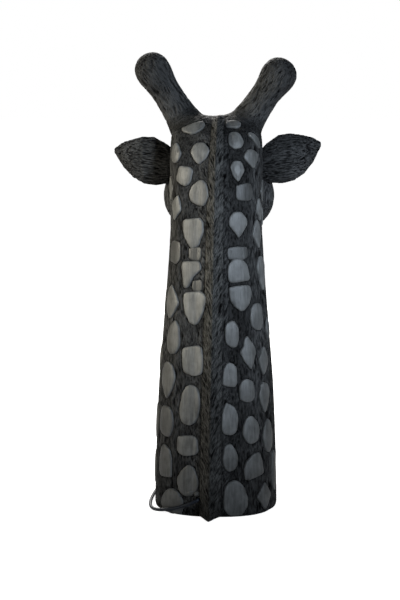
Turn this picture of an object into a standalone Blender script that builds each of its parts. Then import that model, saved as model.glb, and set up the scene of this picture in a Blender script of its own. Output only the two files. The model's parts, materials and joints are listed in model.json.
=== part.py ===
"""A giraffe's head and neck in cast resin, standing on the cut end of its neck and wired as a table lamp.

Frame: metres, +Z up, the floor at z = 0, the origin under the middle of the neck's foot. The giraffe faces
-Y, its mane runs down the back towards +Y, and its left side is +X.
"""

import math

import bmesh
import bpy
import numpy as np
from mathutils import Matrix, Vector

# ---------------------------------------------------------------- driving sizes
GAP = 0.0003  # clearance between pieces that touch on the real object
WALL = 0.006  # thickness of the cast shells
RIM = 0.001  # the neck's lower rim stands this far above the floor, on its felt
SEAM = 0.400  # height of the joint between neck and head
CHIN_FACE = -0.0735  # in front of this y the jaw hangs below the seam,
CHIN_CLEAR = 0.365  # but not below this height
BEYOND = 0.4  # further out than any of the statue, for cutters
SPIGOT = (0.376, 0.404)  # the head's spigot goes down into the neck between these heights
SPIGOT_FIT = 0.0005
SPIGOT_WALL = 0.005
POWER = 2.3  # superellipse power of the neck's cross-section

# Outline of the neck, foot to crown: height, half width, depth behind the axis, depth in front of it.
NECK = (
    (-0.040, 0.0880, 0.0805, 0.0830),
    (0.000, 0.0875, 0.0800, 0.0825),
    (0.100, 0.0850, 0.0765, 0.0800),
    (0.180, 0.0815, 0.0725, 0.0770),
    (0.260, 0.0750, 0.0680, 0.0730),
    (0.340, 0.0683, 0.0635, 0.0690),
    (0.400, 0.0645, 0.0600, 0.0660),
    (0.460, 0.0645, 0.0570, 0.0640),
    (0.505, 0.0655, 0.0510, 0.0600),
    (0.535, 0.0640, 0.0400, 0.0520),
    (0.552, 0.0520, 0.0240, 0.0400),
    (0.5605, 0.0270, 0.0100, 0.0250),
)
# Skull and muzzle, back to front: y, z, half width, half height.
HEAD = (
    (0.012, 0.492, 0.0500, 0.0480),
    (-0.020, 0.494, 0.0625, 0.0630),
    (-0.055, 0.488, 0.0600, 0.0600),
    (-0.090, 0.471, 0.0485, 0.0500),
    (-0.122, 0.453, 0.0395, 0.0390),
    (-0.150, 0.438, 0.0355, 0.0315),
    (-0.174, 0.425, 0.0360, 0.0275),
    (-0.194, 0.414, 0.0335, 0.0235),
    (-0.207, 0.407, 0.0240, 0.0160),
)
# Lower jaw, back to front: y, z, half width, half height.
JAW = (
    (-0.056, 0.4300, 0.0400, 0.0240),
    (-0.092, 0.4150, 0.0330, 0.0190),
    (-0.122, 0.4030, 0.0275, 0.0150),
    (-0.146, 0.3930, 0.0250, 0.0130),
    (-0.162, 0.3865, 0.0200, 0.0105),
)
# Swellings of the head: x, y, z, then the three radii. One with x > 0 is made on both sides.
SWELLINGS = (
    (0.000, -0.068, 0.532, 0.020, 0.026, 0.020),  # bump in the middle of the forehead
    (0.047, -0.052, 0.445, 0.034, 0.036, 0.044),  # cheek, over the corner of the jaw
    (0.043, -0.066, 0.508, 0.020, 0.024, 0.015),  # brow over the eye
    (0.023, -0.190, 0.421, 0.015, 0.018, 0.014),  # nostril
)
MOUTH_FRONT = Vector((0.0, -0.1850, 0.3895))  # the slit between the lips, in the middle plane
MOUTH_BACK = Vector((0.0, -0.1250, 0.4095))
MOUTH_SLIT = 0.0025

# Ridge of the mane, foot to crown: y, z on the neck, how far it stands out, half its width.
MANE = (
    (0.0803, -0.020, 0.0355, 0.0185),
    (0.0800, 0.000, 0.0350, 0.0185),
    (0.0790, 0.030, 0.0275, 0.0175),
    (0.0778, 0.060, 0.0240, 0.0165),
    (0.0765, 0.100, 0.0220, 0.0160),
    (0.0725, 0.180, 0.0205, 0.0155),
    (0.0680, 0.260, 0.0190, 0.0150),
    (0.0635, 0.340, 0.0175, 0.0145),
    (0.0600, 0.400, 0.0160, 0.0140),
    (0.0570, 0.460, 0.0135, 0.0135),
    (0.0510, 0.505, 0.0115, 0.0125),
    (0.0400, 0.535, 0.0090, 0.0115),
    (0.0240, 0.5515, 0.0060, 0.0100),
    (0.0080, 0.5590, 0.0025, 0.0085),
    (-0.0100, 0.5600, -0.0035, 0.0070),
)
MANE_SINK = 0.006
MANE_HOLLOW = 1.35  # power of the flank's curve: above 1 it is hollow

# Foot of each horn's axis, and the middle of the knob on its end. The right horn is the shorter one.
HORN_ENDS = {
    "left": (Vector((0.045, -0.022, 0.549)), Vector((0.0905, -0.012, 0.6225))),
    "right": (Vector((-0.040, -0.022, 0.549)), Vector((-0.0865, -0.012, 0.6160))),
}
# Profile of a horn along its axis from the foot: distance, radius. Its lower end is buried in the skull.
HORN = (
    (-0.016, 0.0285),
    (0.000, 0.0262),
    (0.015, 0.0228),
    (0.035, 0.0210),
    (0.055, 0.0205),
    (0.068, 0.0220),
    (0.080, 0.0246),
    (0.090, 0.0252),
    (0.100, 0.0236),
    (0.108, 0.0185),
    (0.1135, 0.0105),
    (0.1155, 0.0),
)
HORN_LENGTH = 0.0880  # from foot to knob, which the profile is drawn for
DOWEL_R, DOWEL_IN, DOWEL_OUT = 0.004, 0.026, 0.030

# Ear, root to tip: x, y, z of its middle line, half its breadth.
EAR = (
    (0.0560, -0.030, 0.4880, 0.0170),
    (0.0720, -0.030, 0.4915, 0.0280),
    (0.0900, -0.030, 0.4955, 0.0345),
    (0.1070, -0.030, 0.4975, 0.0335),
    (0.1220, -0.031, 0.5000, 0.0275),
    (0.1360, -0.033, 0.5055, 0.0180),
    (0.1490, -0.036, 0.5120, 0.0030),
)
EAR_THICK = 0.0060
EAR_EDGE = 0.0020
EAR_CUP = 0.42  # how far the back of the ear bulges, as a share of half its breadth
EAR_PIN = (0.049, 0.083)  # the pin runs between these distances from the middle
EAR_PIN_R = 0.0020
EAR_AXIS = Vector((0.060, -0.0225, 0.4900))  # the ear turns about this point to be lifted
EAR_LIFT = {"left": -1.5, "right": 5.0}  # degrees: the right ear is held higher
SIDES = {"left": 1, "right": -1}

EYE = Vector((0.0480, -0.0700, 0.4920))
EYE_R = 0.0140

PLATE = (0.0035, 0.0095)  # heights of the base plate's faces
FELT_TOP = 0.0032
BOSS = Vector((0.0560, 0.0530, 0.0))  # one in each quarter of the foot
BOSS_R, BOSS_TOP = 0.0075, 0.036
BASE_SCREW_R, BASE_SCREW_HEAD, BASE_SCREW_LENGTH = 0.00175, 0.0034, 0.025

CABLE_R = 0.0026
CORD_R = 0.0029
HOLE = Vector((0.0180, 0.0, 0.0275))  # x and z of the cable's way out through the back wall
GROMMET_R = 0.0045
BLOCK = Vector((0.0, -0.004, 0.0158))
BLOCK_SIZE = Vector((0.024, 0.016, 0.012))
CLAMP = Vector((0.0100, 0.0340, 0.0124))  # on the cable's axis
CLAMP_SIZE = Vector((0.026, 0.009, 0.0060))
CLAMP_SCREW_X = 0.0085

MOUTH_Y = -0.1900  # the lamp's cord hangs at this y
BUSH_LOW, BUSH_TOP = 0.3925, 0.4080  # ends of the bush in the lip
BUSH_R, BUSH_FLANGE, BUSH_FLANGE_THICK = 0.0050, 0.0075, 0.0020
SWING_Z = 0.3890  # the cord swings fore and aft about this height
SWAY_Z = 0.3520  # and sideways about this one
CAP_TOP = 0.3000  # lampholder, from its top down
CAP_LOW = 0.2760
HOLDER_LOW = 0.2380
BULB_TOP, BULB_CAP_LOW, BULB_LOW = 0.2605, 0.2335, 0.1500
BULB_R = 0.0300

SWITCH = Vector((0.0280, -0.1400, 0.0))
SWITCH_SIZE = Vector((0.060, 0.026, 0.018))
SWITCH_WALL = 0.0018
SWITCH_SPLIT = 0.0090  # the two halves of its case meet here, on the cable's axis
SWITCH_POST = Vector((0.0220, 0.0080, 0.0))
SWITCH_SCREW_R, SWITCH_SCREW_HEAD = 0.0011, 0.0021
ROCKER_Z = 0.0150
ROCKER_TILT = 12  # degrees each way from level; it is modelled switched off
PLUG = Vector((-0.0450, -0.1400, 0.0075))
PLUG_SIZE = Vector((0.034, 0.030, 0.014))
PLUG_PIN_R, PLUG_PIN_OUT, PLUG_PIN_IN, PLUG_PIN_Y = 0.0020, 0.019, 0.008, 0.0095

# Ways of the cables, through points from end to end.
MAINS_WAY = (
    (0.006, 0.0044, 0.0158),
    (0.006, 0.0100, 0.0158),
    (0.009, 0.0200, 0.0132),
    (0.010, 0.0300, 0.0124),
    (0.010, 0.0380, 0.0124),
    (0.013, 0.0490, 0.0170),
    (0.0174, 0.0580, 0.0258),
    (0.018, 0.0640, 0.0275),
    (0.018, 0.0680, 0.0275),
    (0.018, 0.0780, 0.0275),
    (0.019, 0.0860, 0.0270),
    (0.030, 0.0880, 0.0220),
    (0.050, 0.0760, 0.0130),
    (0.068, 0.0628, 0.0072),
    (0.0815, 0.0490, 0.0040),
    (0.0915, 0.0270, 0.0029),
    (0.0960, -0.0100, 0.0029),
    (0.0960, -0.0600, 0.0029),
    (0.0930, -0.1050, 0.0029),
    (0.0800, -0.1340, 0.0040),
    (0.0660, -0.1400, 0.0085),
    (0.0580, -0.1400, 0.0090),
    (0.0475, -0.1400, 0.0090),
)
FEED_WAY = (
    (0.0, -0.0128, 0.0158),
    (0.0, -0.0170, 0.0158),
    (0.0, -0.0280, 0.0240),
    (0.0, -0.0360, 0.0500),
    (0.0, -0.0300, 0.1200),
    (0.0, -0.0100, 0.2500),
    (0.0, -0.0060, 0.3800),
    (0.0, -0.0250, 0.4500),
    (0.0, -0.0900, 0.4600),
    (0.0, -0.1500, 0.4350),
    (0.0, -0.1800, 0.4200),
    (0.0, -0.1887, 0.4145),
    (0.0, -0.1900, 0.4090),
    (0.0, -0.1900, 0.4000),
    (0.0, -0.1900, 0.3935),
)

# Paints: base colour, roughness, metallic.
RESIN = ("resin", (0.020, 0.020, 0.021), 0.55, 0.0)
EYE_PAINT = ("eye_glass", (0.004, 0.004, 0.004), 0.08, 0.0)
PVC = ("cable_pvc", (0.012, 0.013, 0.016), 0.42, 0.0)
TEXTILE = ("textile_braid", (0.015, 0.015, 0.015), 0.85, 0.0)
PHENOLIC = ("phenolic", (0.010, 0.010, 0.010), 0.30, 0.0)
PORCELAIN = ("porcelain", (0.800, 0.780, 0.730), 0.35, 0.0)
BRASS = ("brass", (0.780, 0.570, 0.250), 0.28, 1.0)
STEEL = ("zinc_steel", (0.560, 0.560, 0.570), 0.32, 1.0)
BIRCH = ("birch_dowel", (0.640, 0.490, 0.310), 0.60, 0.0)
BOARD = ("fibreboard", (0.300, 0.200, 0.120), 0.75, 0.0)
FELT = ("felt", (0.030, 0.030, 0.030), 0.95, 0.0)
RUBBER = ("grommet_rubber", (0.015, 0.015, 0.015), 0.70, 0.0)
GLASS = ("bulb_glass", (0.900, 0.880, 0.820), 0.05, 0.0)


# ---------------------------------------------------------------- scene and objects
def clear_scene():
    for old in list(bpy.data.objects):
        bpy.data.objects.remove(old, do_unlink=True)


def collection(name):
    made = bpy.data.collections.new(name)
    bpy.context.scene.collection.children.link(made)
    return made


def material(name, colour, roughness, metallic):
    made = bpy.data.materials.get(name)
    if made:
        return made
    made = bpy.data.materials.new(name)
    made.use_nodes = True
    shader = made.node_tree.nodes["Principled BSDF"]
    shader.inputs["Base Color"].default_value = (*colour, 1.0)
    shader.inputs["Roughness"].default_value = roughness
    shader.inputs["Metallic"].default_value = metallic
    return made


def add(name, mesh, paint=None):
    """An object for a mesh: a part where it has a paint, a cutter or guide where it has none."""
    made = bpy.data.objects.new(name, mesh)
    (PARTS if paint else CUTTERS).objects.link(made)
    if paint:
        mesh.materials.append(material(*paint))
        mesh.shade_smooth()
        mesh.set_sharp_from_angle(angle=math.radians(40))
    else:
        made.hide_render = True
        made.display_type = "WIRE"
    return made


def mesh_of(name, bm):
    """A mesh from a bmesh, welded and with its faces pointing out."""
    bmesh.ops.remove_doubles(bm, verts=bm.verts, dist=1e-6)
    bmesh.ops.recalc_face_normals(bm, faces=bm.faces)
    mesh = bpy.data.meshes.new(name)
    bm.to_mesh(mesh)
    bm.free()
    return mesh


def settled(obj):
    """The object's shape with its modifiers applied, in world space, as a mesh of its own."""
    bpy.context.view_layer.update()
    graph = bpy.context.evaluated_depsgraph_get()
    mesh = bpy.data.meshes.new_from_object(obj.evaluated_get(graph))
    mesh.transform(obj.matrix_world)
    return mesh


def as_solid(draft, name, paint):
    """Turns a draft object into a part or cutter whose mesh is what its modifiers made."""
    bm = bmesh.new()
    bm.from_mesh(settled(draft))
    bpy.data.objects.remove(draft)
    return add(name, mesh_of(name, bm), paint)


def boolean(target, cutter, operation="DIFFERENCE"):
    step = target.modifiers.new(f"{operation.lower()}_{cutter.name}", "BOOLEAN")
    step.operation = operation
    step.solver = "EXACT"
    step.object = cutter


def pivot(name, place):
    """An empty on a joint's axis, for the pieces that turn or slide there."""
    made = bpy.data.objects.new(name, None)
    made.location = place
    PARTS.objects.link(made)
    bpy.context.view_layer.update()
    return made


def hang(empty, *pieces):
    """Parents pieces to a pivot and leaves them where they are."""
    for piece in pieces:
        piece.parent = empty
        piece.matrix_parent_inverse = empty.matrix_world.inverted()


# ---------------------------------------------------------------- shapes
def add_rings(bm, rings):
    """Joins rings of points into a closed skin, with a flat cap on each end."""
    rows = [[bm.verts.new(point) for point in ring] for ring in rings]
    count = len(rows[0])
    for low, high in zip(rows, rows[1:]):
        for i in range(count):
            j = (i + 1) % count
            bm.faces.new((low[i], low[j], high[j], high[i]))
    bm.faces.new(list(reversed(rows[0])))
    bm.faces.new(rows[-1])


def loft(name, rings, paint=None):
    bm = bmesh.new()
    add_rings(bm, rings)
    return add(name, mesh_of(name, bm), paint)


def add_ellipsoid(bm, centre, radii):
    place = Matrix.Translation(centre) @ Matrix.Diagonal((*radii, 1.0))
    bmesh.ops.create_uvsphere(bm, u_segments=16, v_segments=10, radius=1.0, matrix=place)


def ball(name, centre, radius, paint=None):
    bm = bmesh.new()
    add_ellipsoid(bm, centre, (radius, radius, radius))
    return add(name, mesh_of(name, bm), paint)


def bent_rings(stations, count=24):
    """Ellipses across a line that bends in the plane x = 0. A station is y, z, half width, half height."""
    middles = [Vector((0.0, y, z)) for y, z, _, _ in stations]
    across = Vector((1, 0, 0))
    rings = []
    for k, (_, _, wide, high) in enumerate(stations):
        along = middles[min(k + 1, len(middles) - 1)] - middles[max(k - 1, 0)]
        up = across.cross(along.normalized())
        turns = [2 * math.pi * i / count for i in range(count)]
        rings.append([middles[k] + across * wide * math.cos(t) + up * high * math.sin(t) for t in turns])
    return rings


def facing(at, along):
    """The matrix that puts a shape at a point with its Z along a direction."""
    return Matrix.Translation(at) @ along.to_track_quat("Z", "Y").to_matrix().to_4x4()


def turned(name, profile, place, paint=None, steps=20, loop=False):
    """A turned shape. Its (radius, height) profile runs from the top down the outer side.

    The profile ends on the axis at both ends, or it is a closed loop beside the axis.
    """
    edges = [(i, i + 1) for i in range(len(profile) - 1)]
    if loop:
        edges.append((len(profile) - 1, 0))
    mesh = bpy.data.meshes.new(name)
    mesh.from_pydata([(radius, 0.0, height) for radius, height in profile], edges, [])
    draft = add(name, mesh)
    screw = draft.modifiers.new("turn", "SCREW")
    screw.steps = steps
    screw.render_steps = steps
    screw.use_merge_vertices = True
    screw.merge_threshold = 1e-5
    draft.matrix_world = place
    return as_solid(draft, name, paint)


def rod(name, low, high, radius, paint=None, steps=16):
    """A straight round bar between two points."""
    length = (high - low).length
    profile = ((0.0, length), (radius, length), (radius, 0.0), (0.0, 0.0))
    return turned(name, profile, facing(low, high - low), paint, steps)


def screw(name, head, tip, radius, head_radius, pan=0.0):
    """A wood screw: countersunk, or with a pan head of the given height above the surface."""
    length = (tip - head).length
    shank = [(0.0, length), (radius * 0.4, length - radius * 0.5), (radius, length - radius * 2.5)]
    if pan:
        top = [(radius, 0.0), (head_radius, 0.0), (head_radius, -pan * 0.5), (head_radius * 0.6, -pan)]
        top.append((0.0, -pan))
    else:
        top = [(radius, head_radius - radius), (head_radius, 0.0), (0.0, 0.0)]
    return turned(name, shank + top, facing(head, tip - head), STEEL, 12)


def sunk_hole(name, face, radius, head_radius):
    """A cutter for an upright countersunk hole whose wide end is in a face that looks down."""
    through = 0.010
    profile = (
        (0.0, through),
        (radius, through),
        (radius, head_radius - radius),
        (head_radius, 0.0),
        (head_radius, -0.003),
        (0.0, -0.003),
    )
    return turned(name, profile, Matrix.Translation(face), steps=12)


def box(name, centre, size, paint=None, bevel=0.0):
    bm = bmesh.new()
    bmesh.ops.create_cube(bm, size=1.0, matrix=Matrix.Translation(centre) @ Matrix.Diagonal((*size, 1.0)))
    made = add(name, mesh_of(name, bm), paint)
    if bevel:
        edges = made.modifiers.new("edges", "BEVEL")
        edges.width = bevel
        edges.segments = 2
    return made


def smooth_line(points, steps):
    """A Catmull-Rom line through the points, with so many steps between each two."""
    points = [Vector(point) for point in points]
    ends = [points[0] * 2 - points[1], *points, points[-1] * 2 - points[-2]]
    line = []
    for a, b, c, d in zip(ends, ends[1:], ends[2:], ends[3:]):
        for t in np.linspace(0, 1, steps, endpoint=False):
            bend = (a * 2 - b * 5 + c * 4 - d) * t**2 + (b * 3 - a - c * 3 + d) * t**3
            line.append((b * 2 + (c - a) * t + bend) * 0.5)
    return line + [points[-1]]


def cable(name, way, radius, paint, steps=2):
    """A round cable along a smooth line: a poly curve with a bevel and closed ends, made a mesh."""
    line = smooth_line(way, steps)
    curve = bpy.data.curves.new(name, "CURVE")
    curve.dimensions = "3D"
    curve.bevel_depth = radius
    curve.bevel_resolution = 2
    curve.use_fill_caps = True
    spline = curve.splines.new("POLY")
    spline.points.add(len(line) - 1)
    for slot, point in zip(spline.points, line):
        slot.co = (*point, 1.0)
    draft = bpy.data.objects.new(name, curve)
    CUTTERS.objects.link(draft)
    return as_solid(draft, name, paint)


def sculpted(name, bm, voxel, passes, faces):
    """One smooth symmetric body from overlapping closed volumes: voxels join them, smoothing blends them."""
    draft = add(name, mesh_of(name, bm))
    join = draft.modifiers.new("join", "REMESH")
    join.mode = "VOXEL"
    join.voxel_size = voxel
    soften = draft.modifiers.new("soften", "SMOOTH")
    soften.factor = 0.5
    soften.iterations = passes
    dense = sum(len(face.vertices) - 2 for face in settled(draft).polygons)
    thin = draft.modifiers.new("thin", "DECIMATE")
    thin.ratio = min(1.0, faces / dense)
    halves = draft.modifiers.new("halves", "MIRROR")
    halves.use_bisect_axis[0] = True
    halves.merge_threshold = 0.0001
    return as_solid(draft, name, None)


def grown(body, distance, name):
    """A cutter with a body's shape and its surface moved outwards."""
    made = add(name, settled(body))
    swell = made.modifiers.new("swell", "DISPLACE")
    swell.strength = distance
    swell.mid_level = 0.0
    return made


def neck_zone(name, low, gap):
    """The neck's share of the space: all below the seam, but under the chin only what is further down."""
    face, seam = CHIN_FACE - gap, SEAM + gap
    outline = (
        (BEYOND, low),
        (BEYOND, seam),
        (face, seam),
        (face, CHIN_CLEAR),
        (-BEYOND, CHIN_CLEAR),
        (-BEYOND, low),
    )
    return loft(name, [[Vector((x, y, z)) for y, z in outline] for x in (-BEYOND, BEYOND)])


# ---------------------------------------------------------------- the statue's form
def neck_at(height):
    """Half width, depth behind and depth in front of the neck at a height."""
    heights, *sizes = zip(*NECK)
    return [float(np.interp(height, heights, size)) for size in sizes]


def neck_ring(height, inset=0.0, shape_height=None, count=40):
    """The neck's outline as points at a height: a superellipse, deeper in front of the axis than behind."""
    wide, behind, front = (size - inset for size in neck_at(height if shape_height is None else shape_height))
    ring = []
    for i in range(count):
        turn = 2 * math.pi * i / count
        cosine, sine = math.cos(turn), math.sin(turn)
        x = math.copysign(abs(cosine) ** (2 / POWER), cosine) * wide
        y = math.copysign(abs(sine) ** (2 / POWER), sine) * (behind if sine > 0 else front)
        ring.append(Vector((x, y, height)))
    return ring


def back_at(height, x):
    """How far behind the axis the neck's surface is, at a height and a distance from the middle."""
    wide, behind, _ = neck_at(height)
    return behind * (1 - (abs(x) / wide) ** POWER) ** (1 / POWER)


def mane_rings():
    """Sections of the mane's ridge: a hollow flank on each side of a sharp crest, sunk into the neck."""
    feet = [Vector((0.0, y, z)) for y, z, _, _ in MANE]
    shares = (-1, -0.65, -0.3, 0, 0.3, 0.65, 1)
    rings = []
    for k, (_, _, stand, half) in enumerate(MANE):
        along = (feet[min(k + 1, len(feet) - 1)] - feet[max(k - 1, 0)]).normalized()
        out = Vector((0.0, along.z, -along.y))
        outline = [(share * half, stand * (1 - abs(share)) ** MANE_HOLLOW) for share in shares]
        outline += [(half, -MANE_SINK), (-half, -MANE_SINK)]
        rings.append([feet[k] + Vector((x, 0, 0)) + out * height for x, height in outline])
    return rings


def statue_form():
    """Neck, skull, muzzle, jaw and cheeks as one smooth form, with the mane's ridge down its back."""
    bm = bmesh.new()
    add_rings(bm, [neck_ring(height) for height, *_ in NECK])
    add_rings(bm, bent_rings(HEAD))
    add_rings(bm, bent_rings(JAW))
    for x, y, z, *radii in SWELLINGS:
        for side in (1, -1) if x else (1,):
            add_ellipsoid(bm, (side * x, y, z), radii)
    skin = sculpted("skin_form", bm, voxel=0.0035, passes=12, faces=2600)
    boolean(skin, loft("mane_form", mane_rings()), "UNION")
    return as_solid(skin, "statue_form", None)


# ---------------------------------------------------------------- statue
def quarters(point):
    """The four points that mirror one in the planes x = 0 and y = 0."""
    return [Vector((sx * point.x, sy * point.y, point.z)) for sx in (1, -1) for sy in (1, -1)]


def make_neck(form):
    """The hollow neck casting, with four bosses for the base plate's screws and a hole for the cable."""
    neck = add("neck_shell", settled(form), RESIN)
    boolean(neck, neck_zone("neck_length", RIM, 0.0), "INTERSECT")
    heights = (-0.020, 0.000, 0.100, 0.180, 0.260, 0.340, 0.400, 0.420)
    boolean(neck, loft("neck_cavity", [neck_ring(height, WALL) for height in heights]))
    for k, place in enumerate(quarters(BOSS)):
        low = place + Vector((0, 0, PLATE[1] + GAP))
        top = place + Vector((0, 0, BOSS_TOP))
        boolean(neck, rod(f"boss_{k + 1}", low, top, BOSS_R), "UNION")
        tip = place + Vector((0, 0, PLATE[0] + BASE_SCREW_LENGTH + 0.002))
        boolean(neck, rod(f"boss_hole_{k + 1}", place, tip, BASE_SCREW_R + GAP, steps=12))
    inside, outside = HOLE + Vector((0, 0.060, 0)), HOLE + Vector((0, 0.140, 0))
    boolean(neck, rod("cable_hole", inside, outside, GROMMET_R + GAP))
    return neck


def make_head(form):
    """The hollow head casting: a spigot below, a passage to the mouth, and holes for what is let into it."""
    head = add("head_shell", settled(form), RESIN)
    boolean(head, neck_zone("neck_room", -0.100, GAP))
    fit = WALL + SPIGOT_FIT
    boolean(head, loft("spigot", [neck_ring(height, fit, SPIGOT[1]) for height in SPIGOT]), "UNION")
    boolean(head, loft("skull_cavity", skull_cavity_rings(fit + SPIGOT_WALL)))
    passage = (
        (-0.010, 0.4600, 0.030, 0.026),
        (-0.070, 0.4620, 0.026, 0.022),
        (-0.115, 0.4490, 0.018, 0.015),
        (-0.150, 0.4335, 0.012, 0.010),
        (-0.196, 0.4160, 0.007, 0.007),
    )
    boolean(head, loft("mouth_passage", bent_rings(passage, 16)))
    boolean(head, mouth_slit())
    boolean(head, bush_room())
    for side in SIDES:
        boolean(head, ball(f"{side}_eye_socket", on_side(side, EYE), EYE_R + GAP))
        low, high = horn_point(side, -DOWEL_IN - GAP), horn_point(side, 0.040)
        boolean(head, rod(f"{side}_horn_socket", low, high, DOWEL_R + GAP))
        low, high = ear_point(side, EAR_PIN[0] - GAP), ear_point(side, 0.090)
        boolean(head, rod(f"{side}_ear_socket", low, high, EAR_PIN_R + GAP, steps=12))
    return head


def on_side(side, point):
    """A left-hand point, or its mirror image."""
    return Vector((SIDES[side] * point.x, point.y, point.z))


def bush_room():
    """The stepped hole in the lip for the bush and its flange."""
    sleeve, flange, face = BUSH_R + GAP, BUSH_FLANGE + GAP, BUSH_LOW + BUSH_FLANGE_THICK + GAP
    profile = ((0.0, 0.418), (sleeve, 0.418), (sleeve, face), (flange, face), (flange, 0.370), (0.0, 0.370))
    return turned("bush_room", profile, Matrix.Translation(lamp_axis(0.0)), steps=16)


def skull_cavity_rings(inset):
    rings = [neck_ring(height, inset, max(height, SPIGOT[1]), 24) for height in (0.360, 0.412, 0.440)]
    rings.append([Vector((p.x * 0.80, p.y * 0.80 - 0.008, 0.474)) for p in rings[-1]])
    rings.append([Vector((p.x * 0.65, p.y * 0.65 - 0.010, 0.500)) for p in rings[-1]])
    return rings


def mouth_slit():
    """A thin flat cutter that opens the line between the lips."""
    along = MOUTH_BACK - MOUTH_FRONT
    middle = (MOUTH_BACK + MOUTH_FRONT) / 2
    made = box("mouth_slit", Vector((0, 0, 0)), Vector((0.120, along.length, MOUTH_SLIT)))
    made.matrix_world = Matrix.Translation(middle) @ Matrix.Rotation(math.atan2(along.z, along.y), 4, "X")
    return made


def horn_point(side, distance):
    """A point on a horn's axis, at a distance from its foot."""
    foot, knob = HORN_ENDS[side]
    return foot + (knob - foot).normalized() * distance


def make_horns(skull):
    """Two short horns with knobbed ends, each on a dowel let into the skull."""
    for side, (foot, knob) in HORN_ENDS.items():
        stretch = (knob - foot).length / HORN_LENGTH
        profile = [(radius, distance * stretch) for distance, radius in reversed(HORN)]
        profile.append((0.0, profile[-1][1]))
        horn = turned(f"{side}_horn", profile, facing(foot, knob - foot), RESIN, 18)
        boolean(horn, skull)
        low, high = horn_point(side, -DOWEL_IN), horn_point(side, DOWEL_OUT)
        room = horn_point(side, DOWEL_OUT + GAP)
        boolean(horn, rod(f"{side}_horn_bore", low, room, DOWEL_R + GAP))
        rod(f"{side}_horn_dowel", low, high, DOWEL_R, BIRCH)


def ear_frame(side):
    """Lifts a left ear by its side's angle, and mirrors it for the right."""
    turn = Matrix.Rotation(math.radians(-EAR_LIFT[side]), 4, "Y")
    lift = Matrix.Translation(EAR_AXIS) @ turn @ Matrix.Translation(-EAR_AXIS)
    return Matrix.Diagonal((SIDES[side], 1, 1, 1)) @ lift


def ear_section(x, y, z, half):
    """A crescent across the ear: its back bulges to the rear, its hollow side faces forward."""
    shares = np.linspace(-1, 1, 9)
    thick = min(EAR_THICK, half * 0.8)
    back = []
    front = []
    for share in shares:
        round_off = 1 - share**2
        bulge = y + EAR_CUP * half * round_off
        back.append(Vector((x, bulge, z + share * half)))
        front.append(Vector((x, bulge - EAR_EDGE - (thick - EAR_EDGE) * round_off, z + share * half)))
    return back + front[::-1]


def ear_point(side, x):
    """A point on the axis of an ear's pin."""
    return ear_frame(side) @ Vector((x, -0.0225, 0.4935))


def make_ears(skull):
    """Two leaf-shaped ears, cupped to the front, each on a steel pin."""
    for side in SIDES:
        frame = ear_frame(side)
        rings = [[frame @ point for point in ear_section(*station)] for station in EAR]
        ear = loft(f"{side}_ear", rings, RESIN)
        boolean(ear, skull)
        root, end = (ear_point(side, x) for x in EAR_PIN)
        room = ear_point(side, EAR_PIN[1] + GAP)
        boolean(ear, rod(f"{side}_ear_bore", root, room, EAR_PIN_R + GAP, steps=12))
        rod(f"{side}_ear_pin", root, end, EAR_PIN_R, STEEL, 12)


def make_eyes():
    for side in SIDES:
        ball(f"{side}_eye", on_side(side, EYE), EYE_R, EYE_PAINT)


# ---------------------------------------------------------------- base
def make_base():
    """A fibreboard plate screwed up into the neck's bosses, with felt under it."""
    plate = loft("base_plate", [neck_ring(height, WALL + SPIGOT_FIT, 0.0) for height in PLATE], BOARD)
    loft("felt_pad", [neck_ring(height, WALL + 0.002, 0.0) for height in (0.0, FELT_TOP)], FELT)
    for k, place in enumerate(quarters(BOSS)):
        low = place + Vector((0, 0, PLATE[0] + GAP))
        tip = low + Vector((0, 0, BASE_SCREW_LENGTH))
        screw(f"base_screw_{k + 1}", low, tip, BASE_SCREW_R, BASE_SCREW_HEAD)
        face = place + Vector((0, 0, PLATE[0]))
        boolean(plate, sunk_hole(f"plate_hole_{k + 1}", face, BASE_SCREW_R + GAP, BASE_SCREW_HEAD + GAP * 2))
    for side in (1, -1):
        place = CLAMP + Vector((side * CLAMP_SCREW_X, 0, 0))
        hole = rod(f"clamp_hole_{side}", Vector((place.x, place.y, 0.0050)), place, 0.0018, steps=12)
        boolean(plate, hole)
    hole = rod("block_hole", Vector((BLOCK.x, BLOCK.y, 0.0050)), BLOCK, 0.0018, steps=12)
    boolean(plate, hole)


# ---------------------------------------------------------------- wiring
def make_wiring():
    """The mains cable from the terminal block out through the back, and the cord up to the mouth."""
    cable("mains_cable", MAINS_WAY, CABLE_R, PVC)
    cable("feed_cord", FEED_WAY, CORD_R, TEXTILE)
    inner, sleeve_end = CABLE_R + GAP, back_at(HOLE.z, HOLE.x)
    grommet = (
        (inner, sleeve_end),
        (GROMMET_R, sleeve_end),
        (GROMMET_R, 0.0700),
        (0.0068, 0.0700),
        (0.0068, 0.0680),
        (inner, 0.0680),
    )
    turned("cable_grommet", grommet, facing(HOLE, Vector((0, 1, 0))), RUBBER, 16, loop=True)
    make_clamp()
    make_terminal_block()


def make_clamp():
    """The bar that holds the cable down on the base plate, with its two screws."""
    low = PLATE[1] + GAP
    middle = Vector((CLAMP.x, CLAMP.y, low + CLAMP_SIZE.z / 2))
    bar = box("cord_clamp", middle, CLAMP_SIZE, PHENOLIC, bevel=0.0008)
    groove = rod("clamp_groove", CLAMP - Vector((0, 0.010, 0)), CLAMP + Vector((0, 0.010, 0)), CABLE_R + GAP)
    slot = box("clamp_slot", CLAMP - Vector((0, 0, 0.005)), Vector((2 * (CABLE_R + GAP), 0.020, 0.010)))
    boolean(bar, groove)
    boolean(bar, slot)
    for k, side in enumerate((1, -1)):
        top = Vector((CLAMP.x + side * CLAMP_SCREW_X, CLAMP.y, low + CLAMP_SIZE.z + GAP))
        tip = Vector((top.x, top.y, 0.0053))
        screw(f"clamp_screw_{k + 1}", top, tip, 0.0015, 0.0028, pan=0.0020)
        boolean(bar, rod(f"bar_hole_{k + 1}", tip, top + Vector((0, 0, 0.004)), 0.0018, steps=12))


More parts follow.
